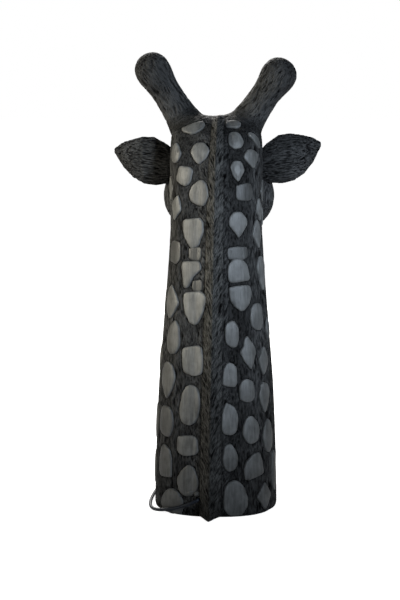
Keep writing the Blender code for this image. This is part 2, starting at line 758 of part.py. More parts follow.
def make_terminal_block():
    """The block where the cable and the cord join, with the screw that holds it down."""
    block = box("terminal_block", BLOCK, BLOCK_SIZE, PORCELAIN, bevel=0.0010)
    top = BLOCK + Vector((0, 0, BLOCK_SIZE.z / 2 + GAP))
    tip = Vector((top.x, top.y, 0.0053))
    screw("terminal_screw", top, tip, 0.0015, 0.0028, pan=0.0020)
    boolean(block, rod("terminal_hole", tip, top + Vector((0, 0, 0.004)), 0.0018, steps=12))


# ---------------------------------------------------------------- hanging lamp
def lamp_axis(height):
    return Vector((0.0, MOUTH_Y, height))


def make_bush():
    """The bush in the lip that the cord comes down through."""
    inner, flange_top = CORD_R + 0.0005, BUSH_LOW + BUSH_FLANGE_THICK
    profile = (
        (inner, BUSH_TOP),
        (BUSH_R, BUSH_TOP),
        (BUSH_R, flange_top),
        (BUSH_FLANGE, flange_top),
        (BUSH_FLANGE, BUSH_LOW),
        (inner, BUSH_LOW),
    )
    turned("mouth_bush", profile, Matrix.Translation(lamp_axis(0.0)), BRASS, 20, loop=True)


def hanging_cord(name, centre, low):
    """A length of cord whose top end is a half ball about its hinge."""
    turns = [math.pi / 2 * k / 4 for k in range(5)]
    profile = [(CORD_R * math.sin(t), centre + CORD_R * math.cos(t)) for t in turns]
    profile += [(CORD_R, low), (0.0, low)]
    return turned(name, profile, Matrix.Translation(lamp_axis(0.0)), TEXTILE, 12)


def make_holder():
    """The lampholder: cap, body, insert and the two contacts inside it."""
    place = Matrix.Translation(lamp_axis(0.0))
    bore = CORD_R + GAP
    cap = (
        (bore, CAP_TOP),
        (0.0060, CAP_TOP),
        (0.0065, CAP_TOP - 0.0060),
        (0.0130, CAP_TOP - 0.0085),
        (0.0172, CAP_TOP - 0.0130),
        (0.0190, CAP_TOP - 0.0190),
        (0.0190, CAP_LOW),
        (0.0174, CAP_LOW),
        (0.0174, CAP_TOP - 0.0185),
        (0.0150, CAP_TOP - 0.0140),
        (0.0100, CAP_TOP - 0.0105),
        (bore, CAP_TOP - 0.0100),
    )
    body = (
        (0.0170, CAP_LOW - GAP),
        (0.0200, CAP_LOW - GAP),
        (0.0205, CAP_LOW - 0.0030),
        (0.0200, CAP_LOW - 0.0060),
        (0.0192, HOLDER_LOW + 0.0040),
        (0.0204, HOLDER_LOW + 0.0030),
        (0.0204, HOLDER_LOW),
        (0.0170, HOLDER_LOW),
    )
    insert = ((0.0, 0.2720), (0.0165, 0.2720), (0.0165, 0.2645), (0.0, 0.2645))
    sleeve = ((0.0145, 0.2642), (0.0158, 0.2642), (0.0158, 0.2420), (0.0145, 0.2420))
    return [
        turned("lampholder_cap", cap, place, PHENOLIC, 16, loop=True),
        turned("lampholder_body", body, place, PHENOLIC, 16, loop=True),
        turned("lampholder_insert", insert, place, PORCELAIN, 16),
        turned("screw_contact", sleeve, place, BRASS, 16, loop=True),
        box("centre_contact", lamp_axis(0.2632), Vector((0.0050, 0.0160, 0.0016)), BRASS, bevel=0.0004),
    ]


def make_bulb():
    """A plain pear-shaped bulb: screw cap, glass and the stem inside."""
    place = Matrix.Translation(lamp_axis(0.0))
    cap = (
        (0.0, BULB_TOP),
        (0.0045, BULB_TOP),
        (0.0065, BULB_TOP - 0.0020),
        (0.0130, BULB_TOP - 0.0045),
        (0.0133, BULB_CAP_LOW),
        (0.0123, BULB_CAP_LOW),
        (0.0120, BULB_TOP - 0.0055),
        (0.0, BULB_TOP - 0.0035),
    )
    glass = bulb_outline(0.0008)[::-1] + bulb_outline(0.0)
    stem = ((0.0, 0.2540), (0.0090, 0.2540), (0.0060, 0.2490), (0.0032, 0.2400), (0.0030, 0.2150))
    stem += ((0.0, 0.2135),)
    return [
        turned("bulb_cap", cap, place, BRASS, 20),
        turned("bulb_glass", glass, place, GLASS, 16),
        turned("bulb_stem", stem, place, GLASS, 12),
    ]


def bulb_outline(inset):
    """The bulb's neck, cone and ball from the top down to the axis, moved inwards by a wall's thickness."""
    centre = BULB_LOW + BULB_R
    radius = BULB_R - inset
    outline = [(0.0112 - inset, 0.2540), (0.0112 - inset, 0.2310), (0.0165 - inset, 0.2150)]
    for k in range(8):
        turn = math.radians(64 - 22 * k)
        outline.append((max(0.0, radius * math.cos(turn)), centre + radius * math.sin(turn)))
    outline[-1] = (0.0, centre - radius)
    return outline


def make_pendant():
    """Cord, lampholder and bulb, hung on their three pivots."""
    make_bush()
    swing = pivot("cord_swing_pivot", lamp_axis(SWING_Z))
    sway = pivot("cord_sway_pivot", lamp_axis(SWAY_Z))
    seat = pivot("bulb_seat", lamp_axis(BULB_TOP))
    hang(swing, hanging_cord("pendant_cord_upper", SWING_Z, SWAY_Z + CORD_R + 0.0006), sway)
    hang(sway, hanging_cord("pendant_cord_lower", SWAY_Z, CAP_TOP - 0.0080), *make_holder(), seat)
    hang(seat, *make_bulb())


# ---------------------------------------------------------------- switch and plug
def make_switch():
    """The rocker switch in the cable: two half shells, rocker on its pin, contacts and screws."""
    low, top = GAP, SWITCH_SIZE.z
    cable_axis = SWITCH + Vector((0, 0, SWITCH_SPLIT))
    halves = {
        "switch_base": (low, SWITCH_SPLIT - GAP / 2, SWITCH_WALL),
        "switch_cover": (SWITCH_SPLIT + GAP / 2, top, -SWITCH_WALL),
    }
    beyond = Vector((0.040, 0, 0))
    bore = rod("switch_bore", cable_axis - beyond, cable_axis + beyond, CABLE_R + GAP)
    made = {}
    for name, (bottom, height, floor) in halves.items():
        centre = SWITCH + Vector((0, 0, (bottom + height) / 2))
        size = Vector((SWITCH_SIZE.x, SWITCH_SIZE.y, height - bottom))
        half = box(name, centre, size, PHENOLIC, bevel=0.0012)
        room = Vector((size.x - 4 * SWITCH_WALL, size.y - 2 * SWITCH_WALL, size.z))
        boolean(half, box(f"{name}_room", centre + Vector((0, 0, floor)), room))
        boolean(half, bore)
        made[name] = half
    window = SWITCH + Vector((0, 0, top))
    boolean(made["switch_cover"], box("rocker_window", window, Vector((0.0235, 0.0125, 0.006))))
    pin_low = SWITCH + Vector((0, -0.0119, ROCKER_Z))
    pin_high = SWITCH + Vector((0, 0.0119, ROCKER_Z))
    rod("rocker_pin", pin_low, pin_high, 0.0008, STEEL, 10)
    reach = Vector((0, 0.0003, 0))
    boolean(made["switch_cover"], rod("pin_seats", pin_low - reach, pin_high + reach, 0.0011, steps=10))
    for k, side in enumerate((1, -1)):
        make_switch_post(made, k + 1, side)
        terminal = SWITCH + Vector((side * 0.0155, 0, 0.0048))
        box(f"switch_terminal_{k + 1}", terminal, Vector((0.0060, 0.0070, 0.0048)), BRASS, bevel=0.0004)
    make_rocker()


def make_switch_post(halves, number, side):
    """One of the switch's screws, with its post in the cover and its hole in the base."""
    foot = SWITCH + Vector((side * SWITCH_POST.x, side * SWITCH_POST.y, 0))
    face, head, bottom, tip, roof = (
        foot + Vector((0, 0, height)) for height in (GAP, GAP * 2, SWITCH_SPLIT + GAP, 0.0140, 0.0168)
    )
    boolean(halves["switch_cover"], rod(f"post_{number}", bottom, roof, 0.0026), "UNION")
    screw(f"switch_screw_{number}", head, tip, SWITCH_SCREW_R, SWITCH_SCREW_HEAD)
    hole = rod(f"post_hole_{number}", foot, tip + Vector((0, 0, GAP)), SWITCH_SCREW_R + GAP, steps=12)
    boolean(halves["switch_cover"], hole)
    sink = sunk_hole(f"base_hole_{number}", face, SWITCH_SCREW_R + GAP, SWITCH_SCREW_HEAD + GAP * 2)
    boolean(halves["switch_base"], sink)


def make_rocker():
    """The rocker and the blade under it, tilted to the off side about the pin."""
    outline = (
        (-0.0105, 0.0040),
        (-0.0085, -0.0015),
        (-0.0030, -0.0035),
        (0.0030, -0.0035),
        (0.0085, -0.0015),
        (0.0105, 0.0040),
        (0.0000, 0.0024),
    )
    sides = [[Vector((x, y, z)) for x, z in outline] for y in (-0.0055, 0.0055)]
    rocker = loft("switch_rocker", sides, PHENOLIC)
    centre = Vector((0, 0, 0))
    boolean(rocker, rod("rocker_bore", centre - Vector((0, 0.01, 0)), Vector((0, 0.01, 0)), 0.0011, steps=10))
    blade = box("switch_blade", Vector((0, 0, -0.0041)), Vector((0.0200, 0.0040, 0.0006)), BRASS)
    place = pivot("rocker_pivot", SWITCH + Vector((0, 0, ROCKER_Z)))
    place.rotation_euler = (0, math.radians(-ROCKER_TILT), 0)
    bpy.data.objects["rocker_bore"].parent = place
    rocker.parent = place
    blade.parent = place


def make_plug():
    """The lead from the switch and the flat two-pin plug on its end."""
    body = box("plug_body", PLUG, PLUG_SIZE, PHENOLIC, bevel=0.0035)
    back, front = PLUG.x + PLUG_SIZE.x / 2, PLUG.x - PLUG_SIZE.x / 2
    lead_end = Vector((back - 0.010, PLUG.y, PLUG.z))
    switch_end = SWITCH + Vector((-0.0195, 0, SWITCH_SPLIT))
    middle = Vector(((back + SWITCH.x - 0.030) / 2, PLUG.y, (PLUG.z + SWITCH_SPLIT) / 2))
    outside = SWITCH + Vector((-0.0310, 0, SWITCH_SPLIT))
    cable("plug_lead", (lead_end, Vector((back, PLUG.y, PLUG.z)), middle, outside, switch_end), CABLE_R, PVC)
    bore_low = lead_end - Vector((GAP, 0, 0))
    boolean(body, rod("plug_bore", bore_low, lead_end + Vector((0.020, 0, 0)), CABLE_R + GAP))
    for k, side in enumerate((1, -1)):
        root = Vector((front + PLUG_PIN_IN, PLUG.y + side * PLUG_PIN_Y, PLUG.z))
        tip = root - Vector((PLUG_PIN_IN + PLUG_PIN_OUT, 0, 0))
        rod(f"plug_pin_{k + 1}", root, tip, PLUG_PIN_R, BRASS, 12)
        hole = rod(f"pin_hole_{k + 1}", root + Vector((GAP, 0, 0)), tip, PLUG_PIN_R + GAP, steps=12)
        boolean(body, hole)


# ---------------------------------------------------------------- build
clear_scene()
PARTS = collection("giraffe_lamp")
CUTTERS = collection("cutters")

FORM = statue_form()
make_neck(FORM)
make_head(FORM)
SKULL = grown(FORM, GAP, "skull_gap")
make_horns(SKULL)
make_ears(SKULL)
make_eyes()
make_base()
make_wiring()
make_pendant()
make_switch()
make_plug()
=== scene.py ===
"""Looks of the giraffe bust lamp: combed fur, spots, mane, face, ears and finishes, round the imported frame.

Metres, +Z up. The giraffe faces -Y, its mane is on the +Y side and its left is +X. The neck, head and horns
are one skin, made from the frame's castings, then cut at the castings' seams. Heights of relief are along the
skin's normals.
"""

import json
import math
import random

import bmesh
import bpy
import numpy as np
from mathutils import Matrix, Vector, noise
from mathutils.bvhtree import BVHTree
from mathutils.kdtree import KDTree


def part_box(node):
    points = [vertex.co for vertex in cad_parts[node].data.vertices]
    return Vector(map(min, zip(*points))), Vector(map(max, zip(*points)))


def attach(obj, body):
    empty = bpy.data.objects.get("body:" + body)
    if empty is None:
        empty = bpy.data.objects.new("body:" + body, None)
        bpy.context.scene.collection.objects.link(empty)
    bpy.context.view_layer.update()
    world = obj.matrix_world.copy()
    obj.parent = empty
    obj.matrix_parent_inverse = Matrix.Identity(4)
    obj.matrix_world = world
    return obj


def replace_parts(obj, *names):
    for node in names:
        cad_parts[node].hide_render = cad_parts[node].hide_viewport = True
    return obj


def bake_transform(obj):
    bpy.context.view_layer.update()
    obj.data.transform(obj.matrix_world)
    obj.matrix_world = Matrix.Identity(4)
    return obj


noise.seed_set(7)  # without a seed, noise_vector differs from run to run
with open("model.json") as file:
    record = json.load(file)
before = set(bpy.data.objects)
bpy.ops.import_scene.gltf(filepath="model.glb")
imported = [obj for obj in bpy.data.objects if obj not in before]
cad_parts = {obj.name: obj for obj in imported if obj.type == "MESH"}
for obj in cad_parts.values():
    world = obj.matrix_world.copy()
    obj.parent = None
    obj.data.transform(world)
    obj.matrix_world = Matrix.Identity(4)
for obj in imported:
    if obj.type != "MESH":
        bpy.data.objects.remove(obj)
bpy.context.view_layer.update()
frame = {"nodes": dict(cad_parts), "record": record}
NODES = frame["nodes"]

# ---------------------------------------------------------------- sizes of the form
MM = 0.001
VOXEL = 0.0018  # grain of the skin's mesh
SKIN_PASSES, BODY_PASSES, BED_PASSES = 8, 34, 260  # smoothing of all the skin, its body and the mane's bed
FOOT_EDGE = 0.003  # below this height only the mane's toe counts as the back
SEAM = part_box("neck_shell")[1].z  # the neck casting ends and the head's begins at this height
SEAM_NEAR = 0.004  # faces this near a cut are divided by it
CASTINGS = ("neck_shell", "head_shell", "left_horn", "right_horn")
CHIN_FACE = -0.0735  # in front of this y all that hangs below the seam is jaw
CHIN_CLEAR = 0.365
EYE_R = (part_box("left_eye")[1].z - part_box("left_eye")[0].z) / 2
EYE_OUT = (0.87, -0.46, 0.12)  # the left eye looks this way
EYE_LONG, EYE_HIGH, EYE_LOW = math.radians(56), math.radians(38), math.radians(32)
LID_STEPS = 72
LID_SPREADS = (0.0, 0.0, 0.05, 0.13, 0.22, 0.32, 0.44)  # angles from the opening's edge, outwards
LID_RISES = (-0.0006, 0.0008, 0.0016, 0.0018, 0.0011, 0.0003, -0.0014)
UPPER_LID = 1.35  # the upper lid is this much thicker
NOSTRIL = (0.0200, -0.2060, 0.4190)
NOSTRIL_WAY = (0.30, 0.50, 0.80)
NOSTRIL_REACH = (0.0110, 0.0055)
NOSTRIL_RIM, NOSTRIL_DEPTH = 0.0030, 0.0085
EAR_VOXEL = 0.0010
EAR_PASSES = 14
EAR_BOSS = 0.0016  # the ear is this much thicker over its pin
EAR_BOSS_REACH = (0.026, 0.0060)
EAR_DROOP = {"left": 0.12, "right": -0.16}  # slope of the ear from root to tip, along +X
EAR_LOCK, EAR_DEPTH = 0.0026, 0.00042
SWING_Z, SWAY_Z = (joint["pos_m"][2] for joint in frame["record"]["behaviour"]["joints"][:2])
CORD_IN_LIP = 0.010
CORD_STEP = 0.0012
BRAID_STRANDS, BRAID_PITCH = 6, 0.0032
HORN_FEET = {"left": Vector((0.045, -0.022, 0.549)), "right": Vector((-0.040, -0.022, 0.549))}
KNOB_R, KNOB_Y = 0.0260, -0.012
HORN_REACH = 0.034  # skin this near a horn's axis belongs to the horn
HORN_JOINT = 0.004  # a horn is cut from the head this far up its axis
HORN_BLEND = (-0.006, 0.020)  # head's fur turns into the horn's between these distances up it
HORN_GREYER = 0.40  # the horns are painted greyer than the neck
CROWN_Z = 0.545  # the skin above this height is the crown
CROWN_MID = Vector((0.0, -0.030, 0.500))  # the mane bends over the crown round this point
LUMP_WAY = Vector((0.95, -0.05, -0.22)).normalized()
# Lumps of resin where the cable comes out: x, height, length and radius.
CABLE_LUMPS = (
    (0.0290, 0.0360, 0.016, 0.0034),
    (0.0205, 0.0345, 0.010, 0.0036),
    (0.0235, 0.0225, 0.009, 0.0026),
)

# ---------------------------------------------------------------- light
FLOOR_GLOW = 0.95
SKY_LIGHT = 0.10
STATUE_MID = Vector((0.0, 0.0, 0.40))
CAMERA_PLACE, CAMERA_AIM = Vector((-0.1856, 2.5733, 0.602)), Vector((0.0232, 0.0, 0.2985))
CAMERA_LENS, CAMERA_SENSOR = 109.3, 36.0

# ---------------------------------------------------------------- fur
FUR_WIDTH = 0.0038  # breadth of one combed lock
FUR_DRAWN = 0.17  # locks are this much slower to change along than across
FUR_DEPTH = 0.00075
FUR_SWIRL, SWIRL_SIZE = 0.0035, 1 / 38  # how far the combing wanders, and over what distance it turns
BESIDE_MANE = np.array((0.42, 0.0, 0.91))  # beside the mane the fur is combed outwards, mirrored on the right
MUZZLE_WAY = np.array((0.0, -0.882, -0.470))  # the fur of the face is combed along this line

# ---------------------------------------------------------------- mane
MANE_STEP = 0.0014
MANE_COLUMNS = 41
MANE_HALF = ((0.0, 0.0178), (0.040, 0.0150), (0.300, 0.0128), (0.480, 0.0110), (0.640, 0.0070))
MANE_FOOT_X, MANE_CROWN_X = 0.0030, -0.0040  # the crest leans a little to the right going up
MANE_TOP = 0.56
MANE_FOOT_BACK = 0.0775  # at its foot the mane is all that stands further back than this
MANE_TUCK = 0.006  # its lower end turns in under the foot this far
MANE_HOLLOW = 1.18
MANE_SMOOTH = 9  # rows each side that the crest's line is smoothed over
MANE_SUNK = 0.0016
MANE_SLANT = math.radians(36)  # its strokes meet on the crest like a row of Vs
MANE_STROKE = 0.0032
MANE_DEPTH = 0.0013
VALLEY_WIDTH, VALLEY_SHADE = 0.0070, 0.75
MANE_ROOM = 0.0225  # the skin is flattened this far each side of the middle, under the mane
OUTSIDE = 0.25  # places on the back are looked for from this far out

# ---------------------------------------------------------------- spots
SPOT_RISE = 0.0021
FAINT_RISE, FAINT_TONE = 0.45, -2.6  # low spots that hardly stand out of the fur: share of the rise, and tone
SPOT_FLOOR = 0.0016  # no spot comes lower than this
SPOT_EDGE = 0.0016  # breadth of its rounded edge, and how far its side goes into the skin
SPOT_OUTSIDE = 0.04
SPOT_CHIP, SPOT_CHIP_LENGTH = 0.0013, 0.0075  # how uneven its edge is, and how often
SPOT_ROUND = 44  # points round a spot
GROOVE_WIDTH = 0.0021
GROOVE_DEPTH = 0.0011
# Outlines of spots as corners, breadth and length running from -1 to 1, seen from outside.
OUTLINES = {
    "egg": (
        (0, 1), (0.6, 0.7), (0.95, 0.05), (0.85, -0.6), (0.35, -1),
        (-0.35, -1), (-0.85, -0.6), (-0.95, 0.05), (-0.6, 0.7),
    ),
    "drop": (
        (-0.4, 1), (0.45, 0.97), (0.95, 0.45), (0.9, -0.1), (0.45, -0.65),
        (0, -1), (-0.5, -0.6), (-0.92, 0), (-0.92, 0.5),
    ),
    "leaf": (
        (0, 1), (0.55, 0.55), (0.98, 0), (0.6, -0.5),
        (0.05, -1), (-0.5, -0.55), (-0.98, 0), (-0.6, 0.5),
    ),
    "pill": (
        (-0.4, 1), (0.4, 0.97), (0.9, 0.55), (1, -0.4),
        (0.45, -1), (-0.45, -0.95), (-1, -0.5), (-0.9, 0.5),
    ),
    "block": (
        (-0.75, 0.9), (0.5, 1), (0.95, 0.65), (0.98, -0.5),
        (0.5, -1), (-0.55, -0.95), (-0.98, -0.6), (-1, 0.5),
    ),
    "shield": (
        (-0.8, 0.92), (0.6, 1), (1, 0.55), (0.85, -0.2),
        (0.4, -0.9), (-0.15, -1), (-0.75, -0.4), (-1, 0.45),
    ),
    "kite": (
        (-0.2, 1), (0.4, 0.65), (1, 0.05), (0.5, -0.5),
        (-0.15, -1), (-0.7, -0.6), (-0.95, 0.1), (-0.7, 0.7),
    ),
    "slab": ((-0.3, 1), (0.5, 0.8), (0.9, 0.3), (1, -0.7), (0.6, -1), (-0.6, -0.97), (-1, -0.6), (-0.9, 0.5)),
    "wedge": (
        (-0.8, 0.95), (0.6, 1), (1, 0.5), (0.3, -0.2),
        (-0.3, -0.95), (-0.75, -0.95), (-0.95, 0), (-1, 0.6),
    ),
    "bar": ((-0.7, 1), (0.9, 0.9), (1, -0.7), (0.6, -1), (-0.9, -0.95), (-1, 0.6)),
}
# Spots of the back, left of the mane and right of it: turn from the middle of the back in degrees (+ to the
# giraffe's left), height, breadth and length in mm, tilt in degrees anticlockwise, outline. A breadth below
# zero mirrors the outline.
LEFT_SPOTS = (
    (46, 543, 33, 19, 22, "shield"),
    (22, 509, 27, 31, 0, "drop"),
    (62, 509, 22, 28, 5, "egg"),
    (43, 478, 24, 26, -15, "block"),
    (74, 459, 24, 34, 5, "leaf"),
    (19, 455, 31, 34, 0, "egg"),
    (56, 433, 26, 35, -14, "leaf"),
    (100, 443, 20, 32, 0, "leaf"),
    (27, 399, 33, 41, 0, "shield"),
    (28, 341, 31, 37, 0, "wedge"),
    (55, 300, 32, 48, 0, "kite"),
    (22, 295, 36, 45, 0, "shield"),
    (49, 252, 28, 46, -4, "egg"),
    (22, 221, 33, 41, 0, "block"),
    (76, 219, 20, 40, 0, "leaf"),
    (54, 189, 31, 52, 0, "drop"),
    (24, 158, 30, 54, -5, "pill"),
    (54, 132, 30, 42, 3, "pill"),
    (26, 101, 31, 28, 0, "block"),
    (53, 75, 29, 45, 0, "slab"),
    (25, 52, 34, 42, 0, "egg"),
    (43, 17, 42, 42, 6, "egg"),
    (78, 62, 23, 50, 0, "leaf"),
    (78, 128, 23, 48, 0, "pill"),
)
RIGHT_SPOTS = (
    (-47, 549, 20, 14, -8, "block"),
    (-37, 527, 20, 25, 14, "pill"),
    (-68, 528, 9, 25, 40, "bar"),
    (-57, 501, 27, 26, 5, "drop"),
    (-34, 485, 20, 28, 0, "drop"),
    (-90, 455, 22, 32, 0, "leaf"),
    (-72, 430, 20, 32, 8, "leaf"),
    (-96, 419, 14, 24, 10, "bar"),
    (-33, 410, 27, 35, 0, "drop"),
    (-65, 396, 25, 40, 6, "leaf"),
    (-32, 347, 33, 33, 0, "slab"),
    (-73, 340, 28, 48, 0, "drop"),
    (-34, 309, 35, 35, 0, "shield"),
    (-55, 281, 25, 36, 4, "pill"),
    (-22, 259, 21, 35, 0, "pill"),
    (-41, 232, 25, 47, 6, "leaf"),
    (-62, 218, 23, 41, -8, "leaf"),
    (-80, 262, 18, 30, 0, "leaf"),
    (-19, 202, 22, 35, -6, "slab"),
    (-38, 179, 24, 32, 0, "pill"),
    (-60, 166, 23, 42, -4, "drop"),
    (-18, 139, 24, 43, 0, "pill"),
    (-41, 124, 28, 40, 8, "egg"),
    (-64, 111, -26, 46, 0, "egg"),
    (-18, 87, 24, 38, 0, "egg"),
    (-44, 69, 36, 42, -32, "kite"),
    (-23, 28, 38, 52, 4, "egg"),
    (-56, 26, 28, 38, 0, "leaf"),
    (-76, 58, 18, 54, 0, "pill"),
)
FAINT_SPOTS = (
    (56, 370, 26, 31, 0, "block"),
    (23, 370, 19, 18, 0, "block"),
    (19, 326, 15, 15, 0, "block"),
    (-43, 455, 27, 24, 0, "block"),
    (-32, 371, 29, 18, 0, "block"),
)
# Spots of the front and sides: staggered rows, in mm and degrees.
FRONT_ROWS = range(22, 350, 46)
FRONT_TURNS = range(104, 258, 26)
FRONT_STAGGER = 13
FRONT_KINDS = ("egg", "drop", "leaf", "pill", "block", "shield", "kite", "slab")


# ---------------------------------------------------------------- helpers: objects and meshes
def link(name, mesh):
    made = bpy.data.objects.new(name, mesh)
    bpy.context.scene.collection.objects.link(made)
    return made


def from_bmesh(name, bm):
    mesh = bpy.data.meshes.new(name)
    bm.to_mesh(mesh)
    bm.free()
    return mesh


def applied(obj):
    """The object's evaluated mesh. The object itself is removed."""
    bpy.context.view_layer.update()
    graph = bpy.context.evaluated_depsgraph_get()
    mesh = bpy.data.meshes.new_from_object(obj.evaluated_get(graph))
    bpy.data.objects.remove(obj)
    return mesh


def points_of(mesh):
    flat = np.empty(len(mesh.vertices) * 3)
    mesh.vertices.foreach_get("co", flat)
    return flat.reshape(-1, 3)


def set_points(mesh, points):
    mesh.vertices.foreach_set("co", points.ravel())
    mesh.update()


def normals_of(mesh):
    flat = np.empty(len(mesh.vertices) * 3, np.float32)
    mesh.vertex_normals.foreach_get("vector", flat)
    return flat.reshape(-1, 3).astype(float)


def edges_of(mesh):
    flat = np.empty(len(mesh.edges) * 2, np.int32)
    mesh.edges.foreach_get("vertices", flat)
    return flat.reshape(-1, 2)


def store(mesh, name, values):
    """A float or vector value on each vertex, for the materials to read."""
    values = np.asarray(values, np.float32)
    kind, slot = ("FLOAT", "value") if values.ndim == 1 else ("FLOAT_VECTOR", "vector")
    attribute = mesh.attributes.new(name, kind, "POINT")
    attribute.data.foreach_set(slot, values.ravel())


def smooth_step(value, low, high):
    share = np.clip((value - low) / (high - low), 0.0, 1.0)
    return share * share * (3 - 2 * share)


def relaxed(points, edges, passes, weight, factor=0.5):
    """Moves each point towards the middle of its neighbours again and again, as far as its weight lets it."""
    count = len(points)
    ends = np.concatenate((edges[:, 0], edges[:, 1]))
    others = np.concatenate((edges[:, 1], edges[:, 0]))
    degree = np.maximum(np.bincount(ends, minlength=count), 1)[:, None]
    for _ in range(passes):
        sums = np.stack([np.bincount(ends, points[others, axis], count) for axis in range(3)], axis=1)
        points = points + (sums / degree - points) * (weight * factor)[:, None]
    return points


def catmull(points, per_side, closed=False):
    """A smooth line through points, with so many steps between each two."""
    points = [Vector(point) for point in points]
    if closed:
        ring = [points[-1], *points, points[0], points[1]]
    else:
        ring = [points[0] * 2 - points[1], *points, points[-1] * 2 - points[-2]]
    line = []
    for a, b, c, d in zip(ring, ring[1:], ring[2:], ring[3:]):
        for step in range(per_side):
            t = step / per_side
            bend = (a * 2 - b * 5 + c * 4 - d) * t**2 + (b * 3 - a - c * 3 + d) * t**3
            line.append((b * 2 + (c - a) * t + bend) * 0.5)
    return line if closed else line + [points[-1]]


def skin_over(bm, rows, closed=True):
    """Faces between neighbouring rows of vertices."""
    faces = []
    for low, high in zip(rows, rows[1:]):
        for k in range(len(low) if closed else len(low) - 1):
            after = (k + 1) % len(low)
            faces.append(bm.faces.new((low[k], low[after], high[after], high[k])))
    return faces


def voxelled(name, bm, grain):
    """One closed skin round everything in a bmesh."""
    draft = link(name, from_bmesh(name, bm))
    remesh = draft.modifiers.new("remesh", "REMESH")
    remesh.mode = "VOXEL"
    remesh.voxel_size = grain
    return applied(draft)


def along_and_away(points, place, way):
    """Distance of points along a line through a place, and their distance from it."""
    offset = points - np.array(place)
    along = offset @ np.array(way)
    return along, np.linalg.norm(offset - along[:, None] * np.array(way), axis=1)


def mound(points, place, way, reach):
    """Height of a smooth mound, 0 to 1: reach is its size along a line and across it."""
    along, away = along_and_away(points, place, way)
    return np.exp(-((along / reach[0]) ** 2) - (away / reach[1]) ** 2)


def raised(points, normals, heights):
    return points + normals * heights[:, None]


# ---------------------------------------------------------------- the skin of the castings
def raw_skin():
    """One closed skin over neck, head and horns, with every joint and hole between them bridged."""
    bm = bmesh.new()
    plugs = ("left_horn_dowel", "right_horn_dowel", "left_ear_pin", "right_ear_pin", "base_plate")
    for name in CASTINGS + plugs + ("left_eye", "right_eye"):
        bm.from_mesh(NODES[name].data)
    for name in ("cable_grommet", "mouth_bush"):
        low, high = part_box(name)
        place = Matrix.Translation((low + high) / 2) @ Matrix.Diagonal((*(high - low) * 0.9, 1.0))
        bmesh.ops.create_cube(bm, size=1.0, matrix=place)
    return voxelled("skin_draft", bm, VOXEL)


def find_horn_way(side):
    """A horn's direction, from its foot towards the middle of its knob."""
    low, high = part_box(f"{side}_horn")
    outermost = high.x - KNOB_R if side == "left" else low.x + KNOB_R
    return (Vector((outermost, KNOB_Y, high.z - KNOB_R)) - HORN_FEET[side]).normalized()


HORN_WAYS = {side: find_horn_way(side) for side in HORN_FEET}


def horn_share(points):
    """How far each point belongs to a horn, 0 to 1, for each side."""
    shares = {}
    for side in HORN_FEET:
        along, away = along_and_away(points, HORN_FEET[side], HORN_WAYS[side])
        shares[side] = smooth_step(along, *HORN_BLEND) * (away < HORN_REACH + 0.006)
    return shares


def softened(mesh):
    """Smooths the frame's facets away, and takes the mane's ridge off so that the mane can be made finer."""
    edges = edges_of(mesh)
    points = points_of(mesh)
    face = smooth_step(-points[:, 1], 0.050, 0.090)
    horn = sum(horn_share(points).values())
    points = relaxed(points, edges, SKIN_PASSES, np.ones(len(points)))
    points = relaxed(points, edges, BODY_PASSES, (1 - 0.75 * face) * (1 - 0.7 * horn))
    back = np.where(points[:, 2] > FOOT_EDGE, 0.0, MANE_FOOT_BACK)
    behind = (points[:, 1] > back) | (points[:, 2] > CROWN_Z)
    under = (np.abs(points[:, 0] - mane_middle(points[:, 2])) < MANE_ROOM) & behind
    set_points(mesh, relaxed(points, edges, BED_PASSES, under.astype(float), 1.0))
    return mesh


def nostril_share(points):
    """How far each point is inside a nostril, 0 to 1."""
    mirror = np.array((-1, 1, 1))
    left = mound(points, NOSTRIL, Vector(NOSTRIL_WAY).normalized(), NOSTRIL_REACH)
    return left + mound(points * mirror, NOSTRIL, Vector(NOSTRIL_WAY).normalized(), NOSTRIL_REACH)


def with_nostrils(mesh):
    """Two slanted nostrils with raised rims."""
    points = points_of(mesh)
    share = nostril_share(points)
    rim = share**0.4 - share
    set_points(mesh, raised(points, normals_of(mesh), rim * NOSTRIL_RIM - share * NOSTRIL_DEPTH))
    return mesh


# ---------------------------------------------------------------- combing
def comb_coordinates(points, normals):
    """Places drawn together along the fur's direction, so that a plain noise of them makes combed locks."""
    wander = np.array([noise.noise_vector(Vector(point) / SWIRL_SIZE) for point in points])
    moved = points + wander * FUR_SWIRL

    def drawn_along(way):
        return moved - (1 - FUR_DRAWN) * np.sum(moved * way, axis=1)[:, None] * way

    x, y, z = points.T
    outwards = np.stack([np.sign(x), np.zeros(len(x)), np.ones(len(x))], axis=1) * BESIDE_MANE
    ways = [
        (outwards, smooth_step(np.abs(x), 0.055, 0.018) * smooth_step(y, 0.0, 0.03)),
        (np.array((0.0, 1.0, 0.0)), smooth_step(normals[:, 2], 0.55, 0.85) * (z > CROWN_MID.z)),
        (MUZZLE_WAY, smooth_step(-y, 0.045, 0.085) * smooth_step(z, 0.352, 0.372)),
    ]
    ways += [(np.array(HORN_WAYS[side]), share) for side, share in horn_share(points).items()]
    comb = drawn_along(np.array((0.0, 0.0, 1.0)))
    for way, share in ways:
        comb = comb + (drawn_along(way) - comb) * share[:, None]
    return comb


def locks(comb, width, seed):
    """Height of the combed locks, -1 to 1, from comb coordinates: ridges with sharper hollows between."""
    shift = Vector((seed * 7.3, seed * 3.1, seed * 5.7))
    heights = []
    for place in comb:
        at = Vector(place) / width + shift
        heights.append(noise.noise(at) * 0.75 + noise.noise(at * 1.9 + shift) * 0.5)
    heights = np.array(heights)
    return np.clip(1.1 - 2.2 * np.abs(heights) * np.where(heights < 0, 1.5, 1.0), -1.0, 1.0)


